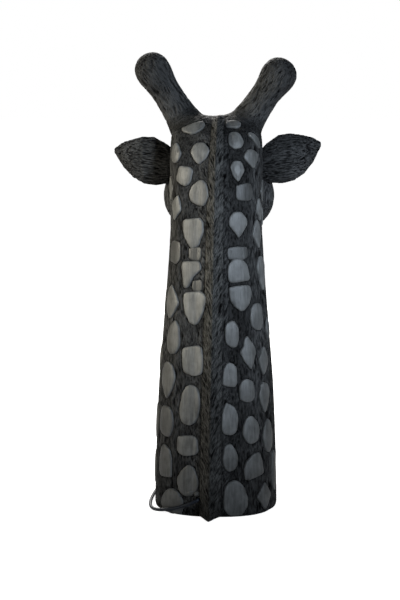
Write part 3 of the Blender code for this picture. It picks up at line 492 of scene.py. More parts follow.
def store_fur(mesh, comb, relief, groove_and_shade):
    """What the fur's material reads: comb coordinates, height of the locks, which it paints lighter on top as
    painted highlight, and depth of the grooves, which it paints darker as painted shade.
    """
    store(mesh, "comb", comb)
    store(mesh, "relief", relief * 0.5 + 0.5)
    store(mesh, "groove_and_shade", groove_and_shade)


# ---------------------------------------------------------------- spots
class Skin:
    """The smooth skin, for finding places on it."""

    def __init__(self, mesh):
        self.points = points_of(mesh)
        self.normals = normals_of(mesh)
        self.faces = BVHTree.FromPolygons(
            [vertex.co for vertex in mesh.vertices], [tuple(face.vertices) for face in mesh.polygons]
        )
        self.near = KDTree(len(self.points))
        for index, point in enumerate(self.points):
            self.near.insert(point, index)
        self.near.balance()

    def around(self, place, radius):
        return np.array([index for _, index, _ in self.near.find_range(place, radius)], int)

    def seen_from(self, place, way):
        """Where a line that comes from outside meets the skin, or the nearest place to it."""
        hit, normal, _, _ = self.faces.ray_cast(place, way, 0.5)
        if hit is None:
            hit, normal, _, _ = self.faces.find_nearest(place)
        return hit, normal


class Spot:
    """One raised spot: its middle, the plane it is drawn in and its outline there."""

    def __init__(self, skin, entry, rise, dice):
        turn, height, breadth, length, tilt, outline = entry
        way = Vector((math.sin(math.radians(turn)), math.cos(math.radians(turn)), 0.0))
        self.middle, _ = skin.seen_from(way * 0.3 + Vector((0, 0, height * MM)), -way)
        self.half = min(abs(breadth), length) * MM / 2
        self.reach = max(abs(breadth), length) * MM / 2
        near = skin.around(self.middle, self.reach * 0.9)
        self.out = Vector(skin.normals[near].mean(axis=0)).normalized()
        up = (Vector((0, 0, 1)) - self.out * self.out.z).normalized()
        right = up.cross(self.out)
        lean = math.radians(tilt)
        self.across = right * math.cos(lean) + up * math.sin(lean)
        self.up = up * math.cos(lean) - right * math.sin(lean)
        self.rise = SPOT_RISE * rise
        self.tone = dice.uniform(-1, 1) if rise == 1.0 else FAINT_TONE
        corners = []
        for a, b in OUTLINES[outline]:
            uneven = dice.uniform(0.95, 1.05)
            corners.append((a * uneven * breadth * MM / 2, b * uneven * length * MM / 2, 0.0))
        if breadth < 0:
            corners.reverse()
        line = catmull(corners, 8, closed=True)
        self.outline = [self.chipped(line[int(k * len(line) / SPOT_ROUND)]) for k in range(SPOT_ROUND)]

    def chipped(self, flat):
        """An outline's point moved a little, as a hand tool leaves it."""
        shake = noise.noise_vector((self.middle + flat) / SPOT_CHIP_LENGTH) * SPOT_CHIP
        return flat + Vector((shake.x, shake.y, 0.0))

    def place(self, flat):
        return self.middle + self.across * flat.x + self.up * flat.y

    def flattened(self, points):
        offset = points - np.array(self.middle)
        return np.stack([offset @ np.array(self.across), offset @ np.array(self.up)], axis=1)

    def distance(self, flat):
        """Distance of flat points from the outline, below zero inside it."""
        ring = np.array([(p.x, p.y) for p in self.outline])
        following = np.roll(ring, -1, axis=0)
        side = following - ring
        offset = flat[:, None, :] - ring[None]
        share = np.clip(np.sum(offset * side, axis=2) / np.sum(side * side, axis=1), 0, 1)
        gaps = np.linalg.norm(offset - share[..., None] * side, axis=2).min(axis=1)
        above = ring[None, :, 1] > flat[:, None, 1]
        above_next = following[None, :, 1] > flat[:, None, 1]
        slope = side[:, 0] / np.where(side[:, 1] == 0, 1e-12, side[:, 1])
        crossing = flat[:, None, 0] < ring[:, 0] + (flat[:, None, 1] - ring[:, 1]) * slope
        inside = (np.sum((above != above_next) & crossing, axis=1) % 2).astype(bool)
        return np.where(inside, -gaps, gaps)


def front_spots(dice):
    """Spots of the throat and the sides that face forward, in staggered rows up the neck."""
    entries = []
    for row, height in enumerate(FRONT_ROWS):
        for turn in FRONT_TURNS:
            breadth, length = dice.uniform(25, 32), dice.uniform(34, 44)
            lift = height + dice.uniform(-5, 5)
            turned = turn + row % 2 * FRONT_STAGGER + dice.uniform(-2, 2)
            entries.append((turned, lift, breadth, length, dice.uniform(-9, 9), dice.choice(FRONT_KINDS)))
    return entries


def make_spots_plan(skin):
    dice = random.Random(11)
    plan = [Spot(skin, entry, 1.0, dice) for entry in LEFT_SPOTS + RIGHT_SPOTS]
    plan += [Spot(skin, entry, FAINT_RISE, dice) for entry in FAINT_SPOTS]
    for entry in front_spots(dice):
        spot = Spot(skin, entry, 1.0, dice)
        if all((spot.middle - other.middle).length > (spot.half + other.half) * 1.05 for other in plan):
            plan.append(spot)
    return plan


def groove_depths(skin, plan):
    """How deep the groove round each spot cuts the skin, 0 to 1, and under the spots fully; the fur's paint
    is darkened by it as painted shade.
    """
    depth = np.zeros(len(skin.points))
    for spot in plan:
        near = skin.around(spot.middle, spot.reach * 1.25 + GROOVE_WIDTH)
        near = near[skin.normals[near] @ np.array(spot.out) > 0.2]
        gap = spot.distance(spot.flattened(skin.points[near]))
        depth[near] = np.maximum(depth[near], 1 - smooth_step(gap, 0.0004, GROOVE_WIDTH))
    return depth


def mane_middle(height):
    """How far to the giraffe's left the mane's crest stands at a height."""
    return np.interp(height, (0.0, MANE_TOP), (MANE_FOOT_X, MANE_CROWN_X))


def mane_valley(points):
    """The hollow along both edges of the mane, 0 to 1, which the fur's paint darkens as painted shade."""
    past = np.abs(points[:, 0] - mane_middle(points[:, 2])) - np.interp(points[:, 2], *zip(*MANE_HALF))
    return smooth_step(-past, -VALLEY_WIDTH, 0.0) * (points[:, 1] > 0.0)


def add_spot(bm, spot, skin):
    """A spot as a thin closed cushion that follows the skin."""
    edge = SPOT_EDGE / spot.half
    profile = (
        (1.0, -SPOT_EDGE),
        (1.0, 0.35 * spot.rise),
        (1.0 - 0.35 * edge, 0.72 * spot.rise),
        (1.0 - edge, 0.92 * spot.rise),
        (1.0 - 2.2 * edge, spot.rise),
        (0.62, 1.12 * spot.rise),
        (0.34, 1.18 * spot.rise),
        (0.12, 1.20 * spot.rise),
    )
    rows = []
    for scale, height in profile:
        row = []
        for flat in spot.outline:
            hit, normal = skin.seen_from(spot.place(flat * scale) + spot.out * SPOT_OUTSIDE, -spot.out)
            place = hit + (normal * 0.6 + spot.out * 0.4).normalized() * height
            place.z = max(place.z, SPOT_FLOOR)
            row.append(bm.verts.new(place))
        rows.append(row)
    skin_over(bm, rows)
    bm.faces.new(rows[-1])
    bm.faces.new(rows[0][::-1])
    return [spot.tone] * (len(rows) * SPOT_ROUND)


def make_spots(name, spots, skin, paint):
    bm = bmesh.new()
    tones = []
    for spot in spots:
        tones += add_spot(bm, spot, skin)
    bmesh.ops.recalc_face_normals(bm, faces=bm.faces)
    mesh = from_bmesh(name, bm)
    store(mesh, "tone", tones)
    return finish_piece(link(name, mesh), "statue", paint)


# ---------------------------------------------------------------- pieces
def finish_piece(obj, body, paint, crease=50):
    obj.data.materials.clear()
    obj.data.materials.append(paint)
    obj.data.shade_smooth()
    obj.data.set_sharp_from_angle(angle=math.radians(crease))
    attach(obj, body)
    return obj


# ---------------------------------------------------------------- materials
class Paint:
    """A material's node tree, built step by step."""

    def __init__(self, name):
        self.material = bpy.data.materials.new(name)
        self.material.use_nodes = True
        self.tree = self.material.node_tree
        self.shader = self.tree.nodes["Principled BSDF"]

    def node(self, kind, slots=(), **settings):
        """A node with its settings, and values or links for its slots by name or number."""
        made = self.tree.nodes.new(kind)
        for key, value in settings.items():
            setattr(made, key, value)
        for slot, value in dict(slots).items():
            self.fill(made.inputs[slot], value)
        return made

    def fill(self, slot, value):
        """Puts a number, a colour, a vector or another node's output into a slot."""
        if isinstance(value, bpy.types.NodeSocket):
            self.tree.links.new(value, slot)
        elif isinstance(value, tuple) and slot.type == "RGBA":
            slot.default_value = (*value, 1.0)
        else:
            slot.default_value = value

    def place(self, scale):
        """Object coordinates times a scale, which may differ along each axis."""
        return self.scaled(self.node("ShaderNodeTexCoord").outputs["Object"], scale)

    def scaled(self, vector, scale):
        scale = scale if isinstance(scale, tuple) else (scale, scale, scale)
        return self.node("ShaderNodeVectorMath", {0: vector, 1: scale}, operation="MULTIPLY").outputs[0]

    def stored(self, name, output="Fac"):
        return self.node("ShaderNodeAttribute", attribute_name=name).outputs[output]

    def grain(self, vector, detail=4.0, roughness=0.55):
        slots = {"Vector": vector, "Scale": 1.0, "Detail": detail, "Roughness": roughness}
        return self.node("ShaderNodeTexNoise", slots).outputs["Fac"]

    def ramp(self, value, *stops):
        made = self.node("ShaderNodeValToRGB", {"Fac": value})
        points = made.color_ramp.elements
        while len(points) < len(stops):
            points.new(1.0)
        for point, (at, colour) in zip(points, stops):
            point.position = at
            point.color = (*colour, 1.0) if isinstance(colour, tuple) else (colour, colour, colour, 1.0)
        return made.outputs["Color"]

    def maths(self, operation, first, second=0.0):
        return self.node("ShaderNodeMath", {0: first, 1: second}, operation=operation).outputs[0]

    def total(self, *weighted):
        """The sum of values, each times its weight."""
        terms = [self.maths("MULTIPLY", value, weight) for value, weight in weighted]
        result = terms[0]
        for term in terms[1:]:
            result = self.maths("ADD", result, term)
        return result

    def times(self, first, second):
        """Two colours multiplied."""
        slots = {0: 1.0, 6: first, 7: second}
        return self.node("ShaderNodeMix", slots, data_type="RGBA", blend_type="MULTIPLY").outputs[2]

    def bump(self, height, distance, strength=1.0):
        slots = {"Distance": distance, "Strength": strength, "Height": height}
        self.set(Normal=self.node("ShaderNodeBump", slots).outputs["Normal"])

    def set(self, **values):
        """Shader inputs by name, with underscores for spaces."""
        for key, value in values.items():
            self.fill(self.shader.inputs[key.replace("_", " ")], value)
        return self


def fur_paint(name, low, high):
    """Matt cast resin with combed strokes, painted near black as shade in the hollows and greyer as highlight
    on the ridges.
    """
    paint = Paint(name)
    comb = paint.stored("comb", "Vector")
    strokes = paint.grain(paint.scaled(comb, 560.0), 3.0, 0.62)
    hairs = paint.grain(paint.scaled(comb, 1300.0), 2.0, 0.6)
    # Painted highlight and shade: the tops of the strokes and locks are painted greyer, their hollows near
    # black.
    mixed = paint.total((strokes, 0.52), (paint.stored("relief"), 0.26), (hairs, 0.22))
    middle = tuple(a * 0.8 + b * 0.2 for a, b in zip(low, high))
    colour = paint.ramp(mixed, (0.41, low), (0.53, middle), (0.66, high))
    dusty = paint.ramp(paint.grain(paint.place(26.0), 3.0), (0.35, 0.60), (0.65, 1.25))
    # Painted shade: the grooves round the spots, the valleys beside the mane and the nostrils are painted
    # darker.
    groove_and_shade = paint.ramp(paint.stored("groove_and_shade"), (0.25, 1.0), (0.8, 0.45))
    paint.bump(paint.total((strokes, 1.0), (hairs, 0.30)), 0.0024)
    paint.set(
        Base_Color=paint.times(paint.times(colour, dusty), groove_and_shade),
        Roughness=paint.ramp(strokes, (0.3, 0.85), (0.7, 0.52)),
        Specular_IOR_Level=paint.ramp(mixed, (0.42, 0.02), (0.68, 0.22)),
    )
    return paint.material


def spot_paint():
    """The same resin where it is left smooth: greyer than the fur, partly as painted sheen of the smooth
    surface, with faint tool marks and handling.
    """
    paint = Paint("spot_resin")
    marks = paint.grain(paint.place((300.0, 300.0, 42.0)), 4.0, 0.6)
    pores = paint.grain(paint.place(1100.0), 2.0)
    mixed = paint.total((marks, 0.55), (paint.grain(paint.place(75.0), 3.0), 0.45))
    colour = paint.ramp(mixed, (0.34, (0.034, 0.034, 0.033)), (0.66, (0.092, 0.092, 0.089)))
    level = paint.maths("ADD", paint.maths("MULTIPLY", paint.stored("tone"), 0.20), 1.0)
    rough = paint.ramp(marks, (0.3, 0.40), (0.7, 0.56))
    paint.bump(paint.total((marks, 1.0), (pores, 0.22)), 0.0009, 0.7)
    paint.set(Base_Color=paint.times(colour, level), Roughness=rough, Specular_IOR_Level=0.25)
    return paint.material


def plain_paint(name, low, high, rough, grain=120.0, metallic=0.0, bump=0.0):
    """A material whose colour and roughness wander between two values."""
    paint = Paint(name)
    value = paint.grain(paint.place(grain), 3.0)
    wear = paint.grain(paint.place(45.0), 3.0)
    paint.set(Base_Color=paint.ramp(value, (0.35, low), (0.65, high)), Metallic=metallic)
    paint.set(Roughness=paint.ramp(wear, (0.3, rough * 0.85), (0.7, rough * 1.15)))
    if bump:
        paint.bump(value, bump)
    return paint


def rough_paint(name, low, high, rough, grain, bump):
    """A material with a grain that can be felt."""
    return plain_paint(name, low, high, rough, grain, bump=bump).material


def eye_paint():
    paint = plain_paint("eye_gloss", (0.004, 0.004, 0.004), (0.006, 0.005, 0.005), 0.06)
    return paint.set(Coat_Weight=0.6, Coat_Roughness=0.03).material


def birch_paint():
    paint = Paint("birch")
    grain = paint.grain(paint.place((420.0, 420.0, 60.0)), 4.0)
    colour = paint.ramp(grain, (0.3, (0.56, 0.41, 0.25)), (0.7, (0.70, 0.55, 0.37)))
    paint.set(Base_Color=colour, Roughness=0.55)
    return paint.material


def cable_paint():
    low, high = (0.007, 0.009, 0.014), (0.013, 0.017, 0.025)
    paint = plain_paint("cable_sheath", low, high, 0.45, 300.0, bump=0.0001)
    return paint.set(Specular_IOR_Level=0.2).material


def cord_paint():
    """Braided textile: two crossing spirals, from UVs that run round the cord and along it in metres."""
    paint = Paint("cord_braid")
    here = paint.node("ShaderNodeSeparateXYZ", {0: paint.node("ShaderNodeTexCoord").outputs["UV"]})
    turns = paint.maths("MULTIPLY", here.outputs["X"], BRAID_STRANDS * 2 * math.pi)
    climb = paint.maths("MULTIPLY", here.outputs["Y"], 2 * math.pi / BRAID_PITCH)
    one = paint.maths("SINE", paint.maths("ADD", turns, climb))
    other = paint.maths("SINE", paint.maths("SUBTRACT", turns, climb))
    weave = paint.maths("ADD", paint.maths("MULTIPLY", paint.maths("MULTIPLY", one, other), 0.5), 0.5)
    paint.bump(weave, 0.0006)
    colour = paint.ramp(weave, (0.1, (0.006, 0.006, 0.006)), (0.9, (0.030, 0.030, 0.031)))
    paint.set(Base_Color=colour, Roughness=0.85, Sheen_Weight=0.3)
    return paint.material


def porcelain_paint():
    paint = plain_paint("porcelain", (0.78, 0.76, 0.71), (0.82, 0.80, 0.75), 0.18)
    return paint.set(Coat_Weight=0.5).material


def glass_paint():
    paint = Paint("clear_glass")
    wear = paint.grain(paint.place(60.0), 2.0)
    paint.set(Base_Color=(0.97, 0.98, 0.97), Transmission_Weight=1.0, IOR=1.46)
    paint.set(Roughness=paint.ramp(wear, (0.4, 0.0), (0.9, 0.03)))
    return paint.material


def make_paints():
    """One material for each slot of the record, apart from the resin's spots."""
    return {
        "eye": eye_paint(),
        "birch": birch_paint(),
        "cable": cable_paint(),
        "cord": cord_paint(),
        "porcelain": porcelain_paint(),
        "brass": plain_paint("brass", (0.70, 0.50, 0.21), (0.82, 0.61, 0.28), 0.26, 200.0, 1.0).material,
        "steel": plain_paint("zinc_steel", (0.50, 0.50, 0.51), (0.62, 0.62, 0.63), 0.34, 300.0, 1.0).material,
        "fibreboard": rough_paint("fibreboard", (0.24, 0.16, 0.09), (0.36, 0.25, 0.15), 0.8, 900.0, 0.0002),
        "felt": rough_paint("felt", (0.010, 0.010, 0.010), (0.040, 0.040, 0.040), 0.95, 1400.0, 0.0005),
        "grommet": rough_paint("rubber", (0.012, 0.012, 0.012), (0.020, 0.020, 0.020), 0.75, 700.0, 0.0001),
        "black_moulding": rough_paint(
            "black_moulding", (0.009, 0.009, 0.009), (0.013, 0.013, 0.013), 0.28, 500.0, 0.00006
        ),
        "glass": glass_paint(),
    }


# ---------------------------------------------------------------- build the castings
def cut_at(bm, place, way):
    """Divides the faces near a plane where it crosses them."""
    faces = [face for face in bm.faces if abs((face.calc_center_median() - place).dot(way)) < SEAM_NEAR]
    edges = {edge for face in faces for edge in face.edges}
    verts = {vert for face in faces for vert in face.verts}
    bmesh.ops.bisect_plane(bm, geom=[*faces, *edges, *verts], dist=1e-6, plane_co=place, plane_no=way)


def piece_of(centre):
    """The casting that a place on the skin belongs to."""
    for side, foot in HORN_FEET.items():
        along = (centre - foot).dot(HORN_WAYS[side])
        away = (centre - foot - HORN_WAYS[side] * along).length
        if along > HORN_JOINT and away < HORN_REACH:
            return f"{side}_horn"
    jaw = centre.y < CHIN_FACE and centre.z > CHIN_CLEAR
    return "head_shell" if centre.z > SEAM or jaw else "neck_shell"


def close_openings(bm):
    """Puts a flat face on each opening."""
    following = {}
    for edge in bm.edges:
        if edge.is_boundary:
            loop = edge.link_loops[0]
            following.setdefault(loop.link_loop_next.vert, []).append(loop.vert)
    while following:
        start, nexts = next(iter(following.items()))
        ring = [start]
        while True:
            nexts = following[ring[-1]]
            step = nexts.pop()
            if not nexts:
                del following[ring[-1]]
            if step is start or step not in following:
                break
            ring.append(step)
        if len(ring) > 2 and len(set(ring)) == len(ring):
            bm.faces.new(ring)


def divide(mesh, paint):
    """Cuts the finished skin into the castings, each a closed piece that stands for its node."""
    bm = bmesh.new()
    bm.from_mesh(mesh)
    cut_at(bm, Vector((0, 0, SEAM)), Vector((0, 0, 1)))
    cut_at(bm, Vector((0, CHIN_FACE, 0)), Vector((0, 1, 0)))
    whole = from_bmesh("skin_cut", bm)
    owners = [piece_of(face.center) for face in whole.polygons]
    for node in CASTINGS:
        part = bmesh.new()
        part.from_mesh(whole)
        others = [face for face, owner in zip(part.faces, owners) if owner != node]
        bmesh.ops.delete(part, geom=others, context="FACES")
        close_openings(part)
        name = node.removesuffix("_shell")
        piece = link(f"{name}_casting", from_bmesh(name, part))
        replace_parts(finish_piece(piece, "statue", paint, 75), node)


def make_castings(fur, smooth):
    mesh = with_nostrils(softened(raw_skin()))
    skin = Skin(mesh)
    plan = make_spots_plan(skin)
    comb = comb_coordinates(skin.points, skin.normals)
    relief = locks(comb, FUR_WIDTH, 1)
    # The hollows sink the skin, and the fur's paint darkens them as painted shade: round the spots, beside
    # the mane and in the nostrils.
    hollows = (
        groove_depths(skin, plan),
        mane_valley(skin.points) * VALLEY_SHADE,
        np.clip(nostril_share(skin.points) * 1.5, 0.0, 1.0),
    )
    groove_and_shade = np.maximum.reduce(hollows)
    foot = smooth_step(skin.points[:, 2], 0.002, 0.006)
    lift = relief * FUR_DEPTH * (1 - 0.8 * groove_and_shade) - groove_and_shade * GROOVE_DEPTH
    set_points(mesh, opened(raised(skin.points, skin.normals, lift * foot)))
    store_fur(mesh, comb, relief + sum(horn_share(skin.points).values()) * HORN_GREYER, groove_and_shade)
    divide(mesh, fur)
    make_spots("neck_spots", [spot for spot in plan if spot.middle.z < SEAM], skin, smooth)
    make_spots("head_spots", [spot for spot in plan if spot.middle.z >= SEAM], skin, smooth)
    return skin


# ---------------------------------------------------------------- mane
def mane_rows():
    """Even steps up the back and over the crown: a place inside, and the way out from it."""
    rows = []
    height = 0.0012
    while height < CROWN_MID.z - 0.010:
        rows.append((Vector((0, 0, height)), Vector((0, 1, 0))))
        height += MANE_STEP
    turn = math.asin(-0.010 / 0.080)
    while turn < math.radians(100):
        rows.append((CROWN_MID, Vector((0, math.cos(turn), math.sin(turn)))))
        turn += MANE_STEP / 0.075
    return rows


def cad_ridge():
    """The frame's castings, for how far the mane's crest stands out."""
    bm = bmesh.new()
    bm.from_mesh(NODES["neck_shell"].data)
    bm.from_mesh(NODES["head_shell"].data)
    return BVHTree.FromBMesh(bm)


def crest_heights(skin, rows):
    """Where each row meets the skin, and how far the crest stands out there, smoothed along the mane."""
    ridge = cad_ridge()
    crests, bases = [], []
    for middle, way in rows:
        start = middle + way * OUTSIDE
        bases.append(skin.seen_from(start, -way)[0])
        crests.append(ridge.ray_cast(start, -way)[0])
    window = np.hanning(2 * MANE_SMOOTH + 1)
    window /= window.sum()
    ends = ((MANE_SMOOTH, MANE_SMOOTH), (0, 0))
    padded = np.pad(np.array(crests), ends, mode="reflect", reflect_type="odd")
    smoothed = np.stack([np.convolve(padded[:, axis], window, mode="valid") for axis in range(3)], axis=1)
    triples = zip(smoothed, bases, rows)
    return bases, [max(0.0, (Vector(crest) - base).dot(way)) for crest, base, (_, way) in triples]


def stroke_place(across, travelled, share):
    """Comb coordinates of the mane's slanted strokes, mirrored on the crest."""
    across_stroke = across * math.cos(MANE_SLANT) - travelled * math.sin(MANE_SLANT)
    along_stroke = across * math.sin(MANE_SLANT) + travelled * math.cos(MANE_SLANT)
    return across_stroke, 0.05 if share > 0 else -0.05, along_stroke * FUR_DRAWN * 1.3


def make_mane(skin, paint):
    """The mane's ridge as a fine grid over the back: hollow flanks, a crest, and strokes that meet on it."""
    rows = mane_rows()
    bases, stands = crest_heights(skin, rows)
    places, outs, combs, depths = [], [], [], []
    travelled = 0.0
    for k, (middle, way) in enumerate(rows):
        travelled += (bases[k] - bases[k - 1]).length if k else 0.0
        half = float(np.interp(travelled, *zip(*MANE_HALF)))
        for share in np.linspace(-1, 1, MANE_COLUMNS):
            x = share * half
            start = middle + way * OUTSIDE + Vector((x + mane_middle(travelled), 0, 0))
            base, _ = skin.seen_from(start, -way)
            away = abs(share)
            profile = (1 - away) ** MANE_HOLLOW
            crest_round = 0.06 * math.exp(-((away / 0.09) ** 2))
            sunk = MANE_SUNK * smooth_step(away, 0.86, 1.0)
            combs.append(stroke_place(abs(x) + stands[k] * (1 - profile), travelled, share))
            places.append(base + way * (stands[k] * (profile - crest_round) - sunk))
            outs.append(way)
            depths.append(min(1.0, 0.35 + stands[k] / 0.008) * MANE_DEPTH)
    relief = locks(np.array(combs), MANE_STROKE, 3)
    bm = bmesh.new()
    lifts = zip(places, outs, relief * depths)
    verts = [bm.verts.new(place + out * lift) for place, out, lift in lifts]
    lines = [verts[k : k + MANE_COLUMNS] for k in range(0, len(verts), MANE_COLUMNS)]
    under = [bm.verts.new(Vector((vert.co.x, bases[0].y - MANE_TUCK, vert.co.z))) for vert in lines[0]]
    skin_over(bm, [under, *lines], closed=False)
    bmesh.ops.recalc_face_normals(bm, faces=bm.faces)
    mesh = from_bmesh("mane", bm)
    combs += combs[:MANE_COLUMNS]
    store_fur(mesh, combs, np.concatenate([relief, relief[:MANE_COLUMNS]]), np.zeros(len(combs)))
    finish_piece(link("mane", mesh), "statue", paint, 75)


def make_lumps(skin, paint):
    """Rounded lumps that the casting resin left where the cable comes out."""
    bm = bmesh.new()
    for x, height, length, radius in CABLE_LUMPS:
        place, normal = skin.seen_from(Vector((x, OUTSIDE, height)), Vector((0, -1, 0)))
        out = (normal - LUMP_WAY * normal.dot(LUMP_WAY)).normalized()
        turn = Matrix((LUMP_WAY, LUMP_WAY.cross(out), out)).transposed().to_4x4()
        form = Matrix.Translation(place) @ turn @ Matrix.Diagonal((length / 2, radius, radius * 0.8, 1.0))
        bmesh.ops.create_uvsphere(bm, u_segments=32, v_segments=20, radius=1.0, matrix=form)
    for vert in bm.verts:
        vert.co += noise.noise_vector(vert.co * 260.0) * 0.0006
    mesh = from_bmesh("lumps", bm)
    store(mesh, "tone", np.full(len(mesh.vertices), 0.5))
    finish_piece(link("resin_lumps", mesh), "statue", paint)


# ---------------------------------------------------------------- ears
def make_ear(side, paint):
    """A cast ear with its facets smoothed away, combed from root to tip."""
    bm = bmesh.new()
    for node in (f"{side}_ear", f"{side}_ear_pin"):
        bm.from_mesh(NODES[node].data)
    mesh = voxelled("ear_draft", bm, EAR_VOXEL)
    edges, every = edges_of(mesh), np.ones(len(mesh.vertices))
    points = points_of(mesh)
    for _ in range(EAR_PASSES):
        points = relaxed(points, edges, 1, every, 0.5)
        points = relaxed(points, edges, 1, every, -0.52)
    set_points(mesh, relaxed(points, edges, 2, every))
    low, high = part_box(f"{side}_ear_pin")
    boss = mound(points_of(mesh), (low + high) / 2, (high - low).normalized(), EAR_BOSS_REACH)
    points = raised(points_of(mesh), normals_of(mesh), boss * EAR_BOSS)
    set_points(mesh, points)
    way = np.array((1.0, 0.0, EAR_DROOP[side]))
    way /= np.linalg.norm(way)
    comb = points - (1 - FUR_DRAWN) * (points @ way)[:, None] * way
    relief = locks(comb, EAR_LOCK, 5)
    set_points(mesh, raised(points, normals_of(mesh), relief * EAR_DEPTH))
    store_fur(mesh, comb, relief, np.zeros(len(points)))
    ear = finish_piece(link(f"{side}_ear_casting", mesh), "statue", paint, 75)
    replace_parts(ear, f"{side}_ear")


# ---------------------------------------------------------------- eyes
class Socket:
    """Where an eye looks, and the almond opening of its lids as seen from the eye's middle."""

    def __init__(self, side):
        low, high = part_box(f"{side}_eye")
        sign = 1 if side == "left" else -1
        self.middle = (low + high) / 2
        self.out = Vector((sign * EYE_OUT[0], EYE_OUT[1], EYE_OUT[2])).normalized()
        forward = Vector((0.0, -0.94, -0.34))
        self.along = (forward - self.out * forward.dot(self.out)).normalized()
        self.up = self.out.cross(self.along)
        if self.up.z < 0:
            self.up = -self.up

    def opening(self, turn):
        """Angle from the eye's own axis to the lids' edge, this way round."""
        height = EYE_HIGH if math.sin(turn) > 0 else EYE_LOW
        reach = 1 / math.hypot(math.cos(turn) / EYE_LONG, math.sin(turn) / height)
        return reach * (1 + 0.10 * math.cos(turn) ** 8)

    def way(self, turn, angle):
        flat = self.along * math.cos(turn) + self.up * math.sin(turn)
        return self.out * math.cos(angle) + flat * math.sin(angle)

    def reading(self, offset):
        """The turn and the angle of a direction from the eye's middle."""
        offset = offset.normalized()
        angle = math.acos(max(-1.0, min(1.0, offset.dot(self.out))))
        return math.atan2(offset.dot(self.up), offset.dot(self.along)), angle


SOCKETS = {side: Socket(side) for side in ("left", "right")}


def opened(points):
    """The skin stepped back behind the eyes where the lids open."""
    points = points.copy()
    for socket in SOCKETS.values():
        offsets = points - np.array(socket.middle)
        for index in np.flatnonzero(np.linalg.norm(offsets, axis=1) < EYE_R * 1.5):
            offset = Vector(offsets[index])
            turn, angle = socket.reading(offset)
            if angle < socket.opening(turn) + 0.12:
                points[index] = socket.middle + offset.normalized() * EYE_R * 0.86
    return points


def make_lids(side, skin, paint):
    """Both lids as one ring: a rounded edge on the eye that runs out into the skin."""
    socket = SOCKETS[side]
    bm = bmesh.new()
    rows, combs = [], []
    for spread, rise in zip(LID_SPREADS, LID_RISES):
        row = []
        for k in range(LID_STEPS):
            turn = 2 * math.pi * k / LID_STEPS
            angle = socket.opening(turn) + spread
            way = socket.way(turn, angle)
            hit, _, _, _ = skin.faces.ray_cast(socket.middle + way * 0.040, -way)
            reach = (hit - socket.middle).length if hit is not None else EYE_R
            thicker = UPPER_LID if math.sin(turn) > 0 and rise > 0 else 1.0
            row.append(bm.verts.new(socket.middle + way * (max(EYE_R, reach) + rise * thicker)))
            combs.append((angle * EYE_R, 0.0, turn * EYE_R * FUR_DRAWN))
        rows.append(row)
    skin_over(bm, rows)
    bmesh.ops.recalc_face_normals(bm, faces=bm.faces)
    if rows[2][0].normal.dot(socket.out) < 0:
        bmesh.ops.reverse_faces(bm, faces=bm.faces)
    mesh = from_bmesh("lids", bm)
    store_fur(mesh, combs, np.full(len(combs), -0.1), np.zeros(len(combs)))
    lid = finish_piece(link(f"{side}_eyelids", mesh), "statue", paint, 75)
    smooth = lid.modifiers.new("smooth", "SUBSURF")
    smooth.levels = smooth.render_levels = 1


# ---------------------------------------------------------------- small parts
def body_of(node):
    return next(body for body, nodes in frame["record"]["behaviour"]["bodies"].items() if node in nodes)


def slot_of(node):
    return next(part["material_slot"] for part in frame["record"]["subparts"] if part["node"] == node)


def refined(node, paints, soft):
    """A copy of a CAD part that stands for it: rounder if it is soft, with broken edges if it is crisp."""
    bm = bmesh.new()
    bm.from_mesh(NODES[node].data)
    bmesh.ops.remove_doubles(bm, verts=bm.verts, dist=1e-6)
    piece = link(f"{node}_fine", from_bmesh(node, bm))
    if soft:
        finer = piece.modifiers.new("finer", "SUBSURF")
        finer.levels = finer.render_levels = soft
    else:
        edge = piece.modifiers.new("edge", "BEVEL")
        edge.width, edge.segments, edge.limit_method = 0.0004, 2, "ANGLE"
        edge.angle_limit = math.radians(35)
    finish_piece(piece, body_of(node), paints[slot_of(node)], 35)
    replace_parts(piece, node)


def tube(name, way, radius, paint, sides=24):
    """A round tube along a line, with UVs that run round it and along it in metres."""
    bm = bmesh.new()
    layer = bm.loops.layers.uv.new("along")
    rings, lengths = [], []
    travelled = 0.0
    side = Vector((1, 0, 0))
    for k, place in enumerate(way):
        ahead = (way[min(k + 1, len(way) - 1)] - way[max(k - 1, 0)]).normalized()
        side = (side - ahead * side.dot(ahead)).normalized()
        other = ahead.cross(side)
        travelled += (place - way[k - 1]).length if k else 0.0
        ring = []
        for n in range(sides):
            turn = 2 * math.pi * n / sides
            ring.append(bm.verts.new(place + (side * math.cos(turn) + other * math.sin(turn)) * radius))
        rings.append(ring)
        lengths.append(travelled)
    for index, face in enumerate(skin_over(bm, rings)):
        k, n = divmod(index, sides)
        marks = ((n, k), (n + 1, k), (n + 1, k + 1), (n, k + 1))
        for loop, (round_at, row) in zip(face.loops, marks):
            loop[layer].uv = (round_at / sides, lengths[row])
    bm.faces.new(rings[0][::-1])
    bm.faces.new(rings[-1])
    piece = link(name, from_bmesh(name, bm))
    piece.data.materials.append(paint)
    piece.data.shade_smooth()
    piece.data.set_sharp_from_angle(angle=math.radians(60))
    return piece


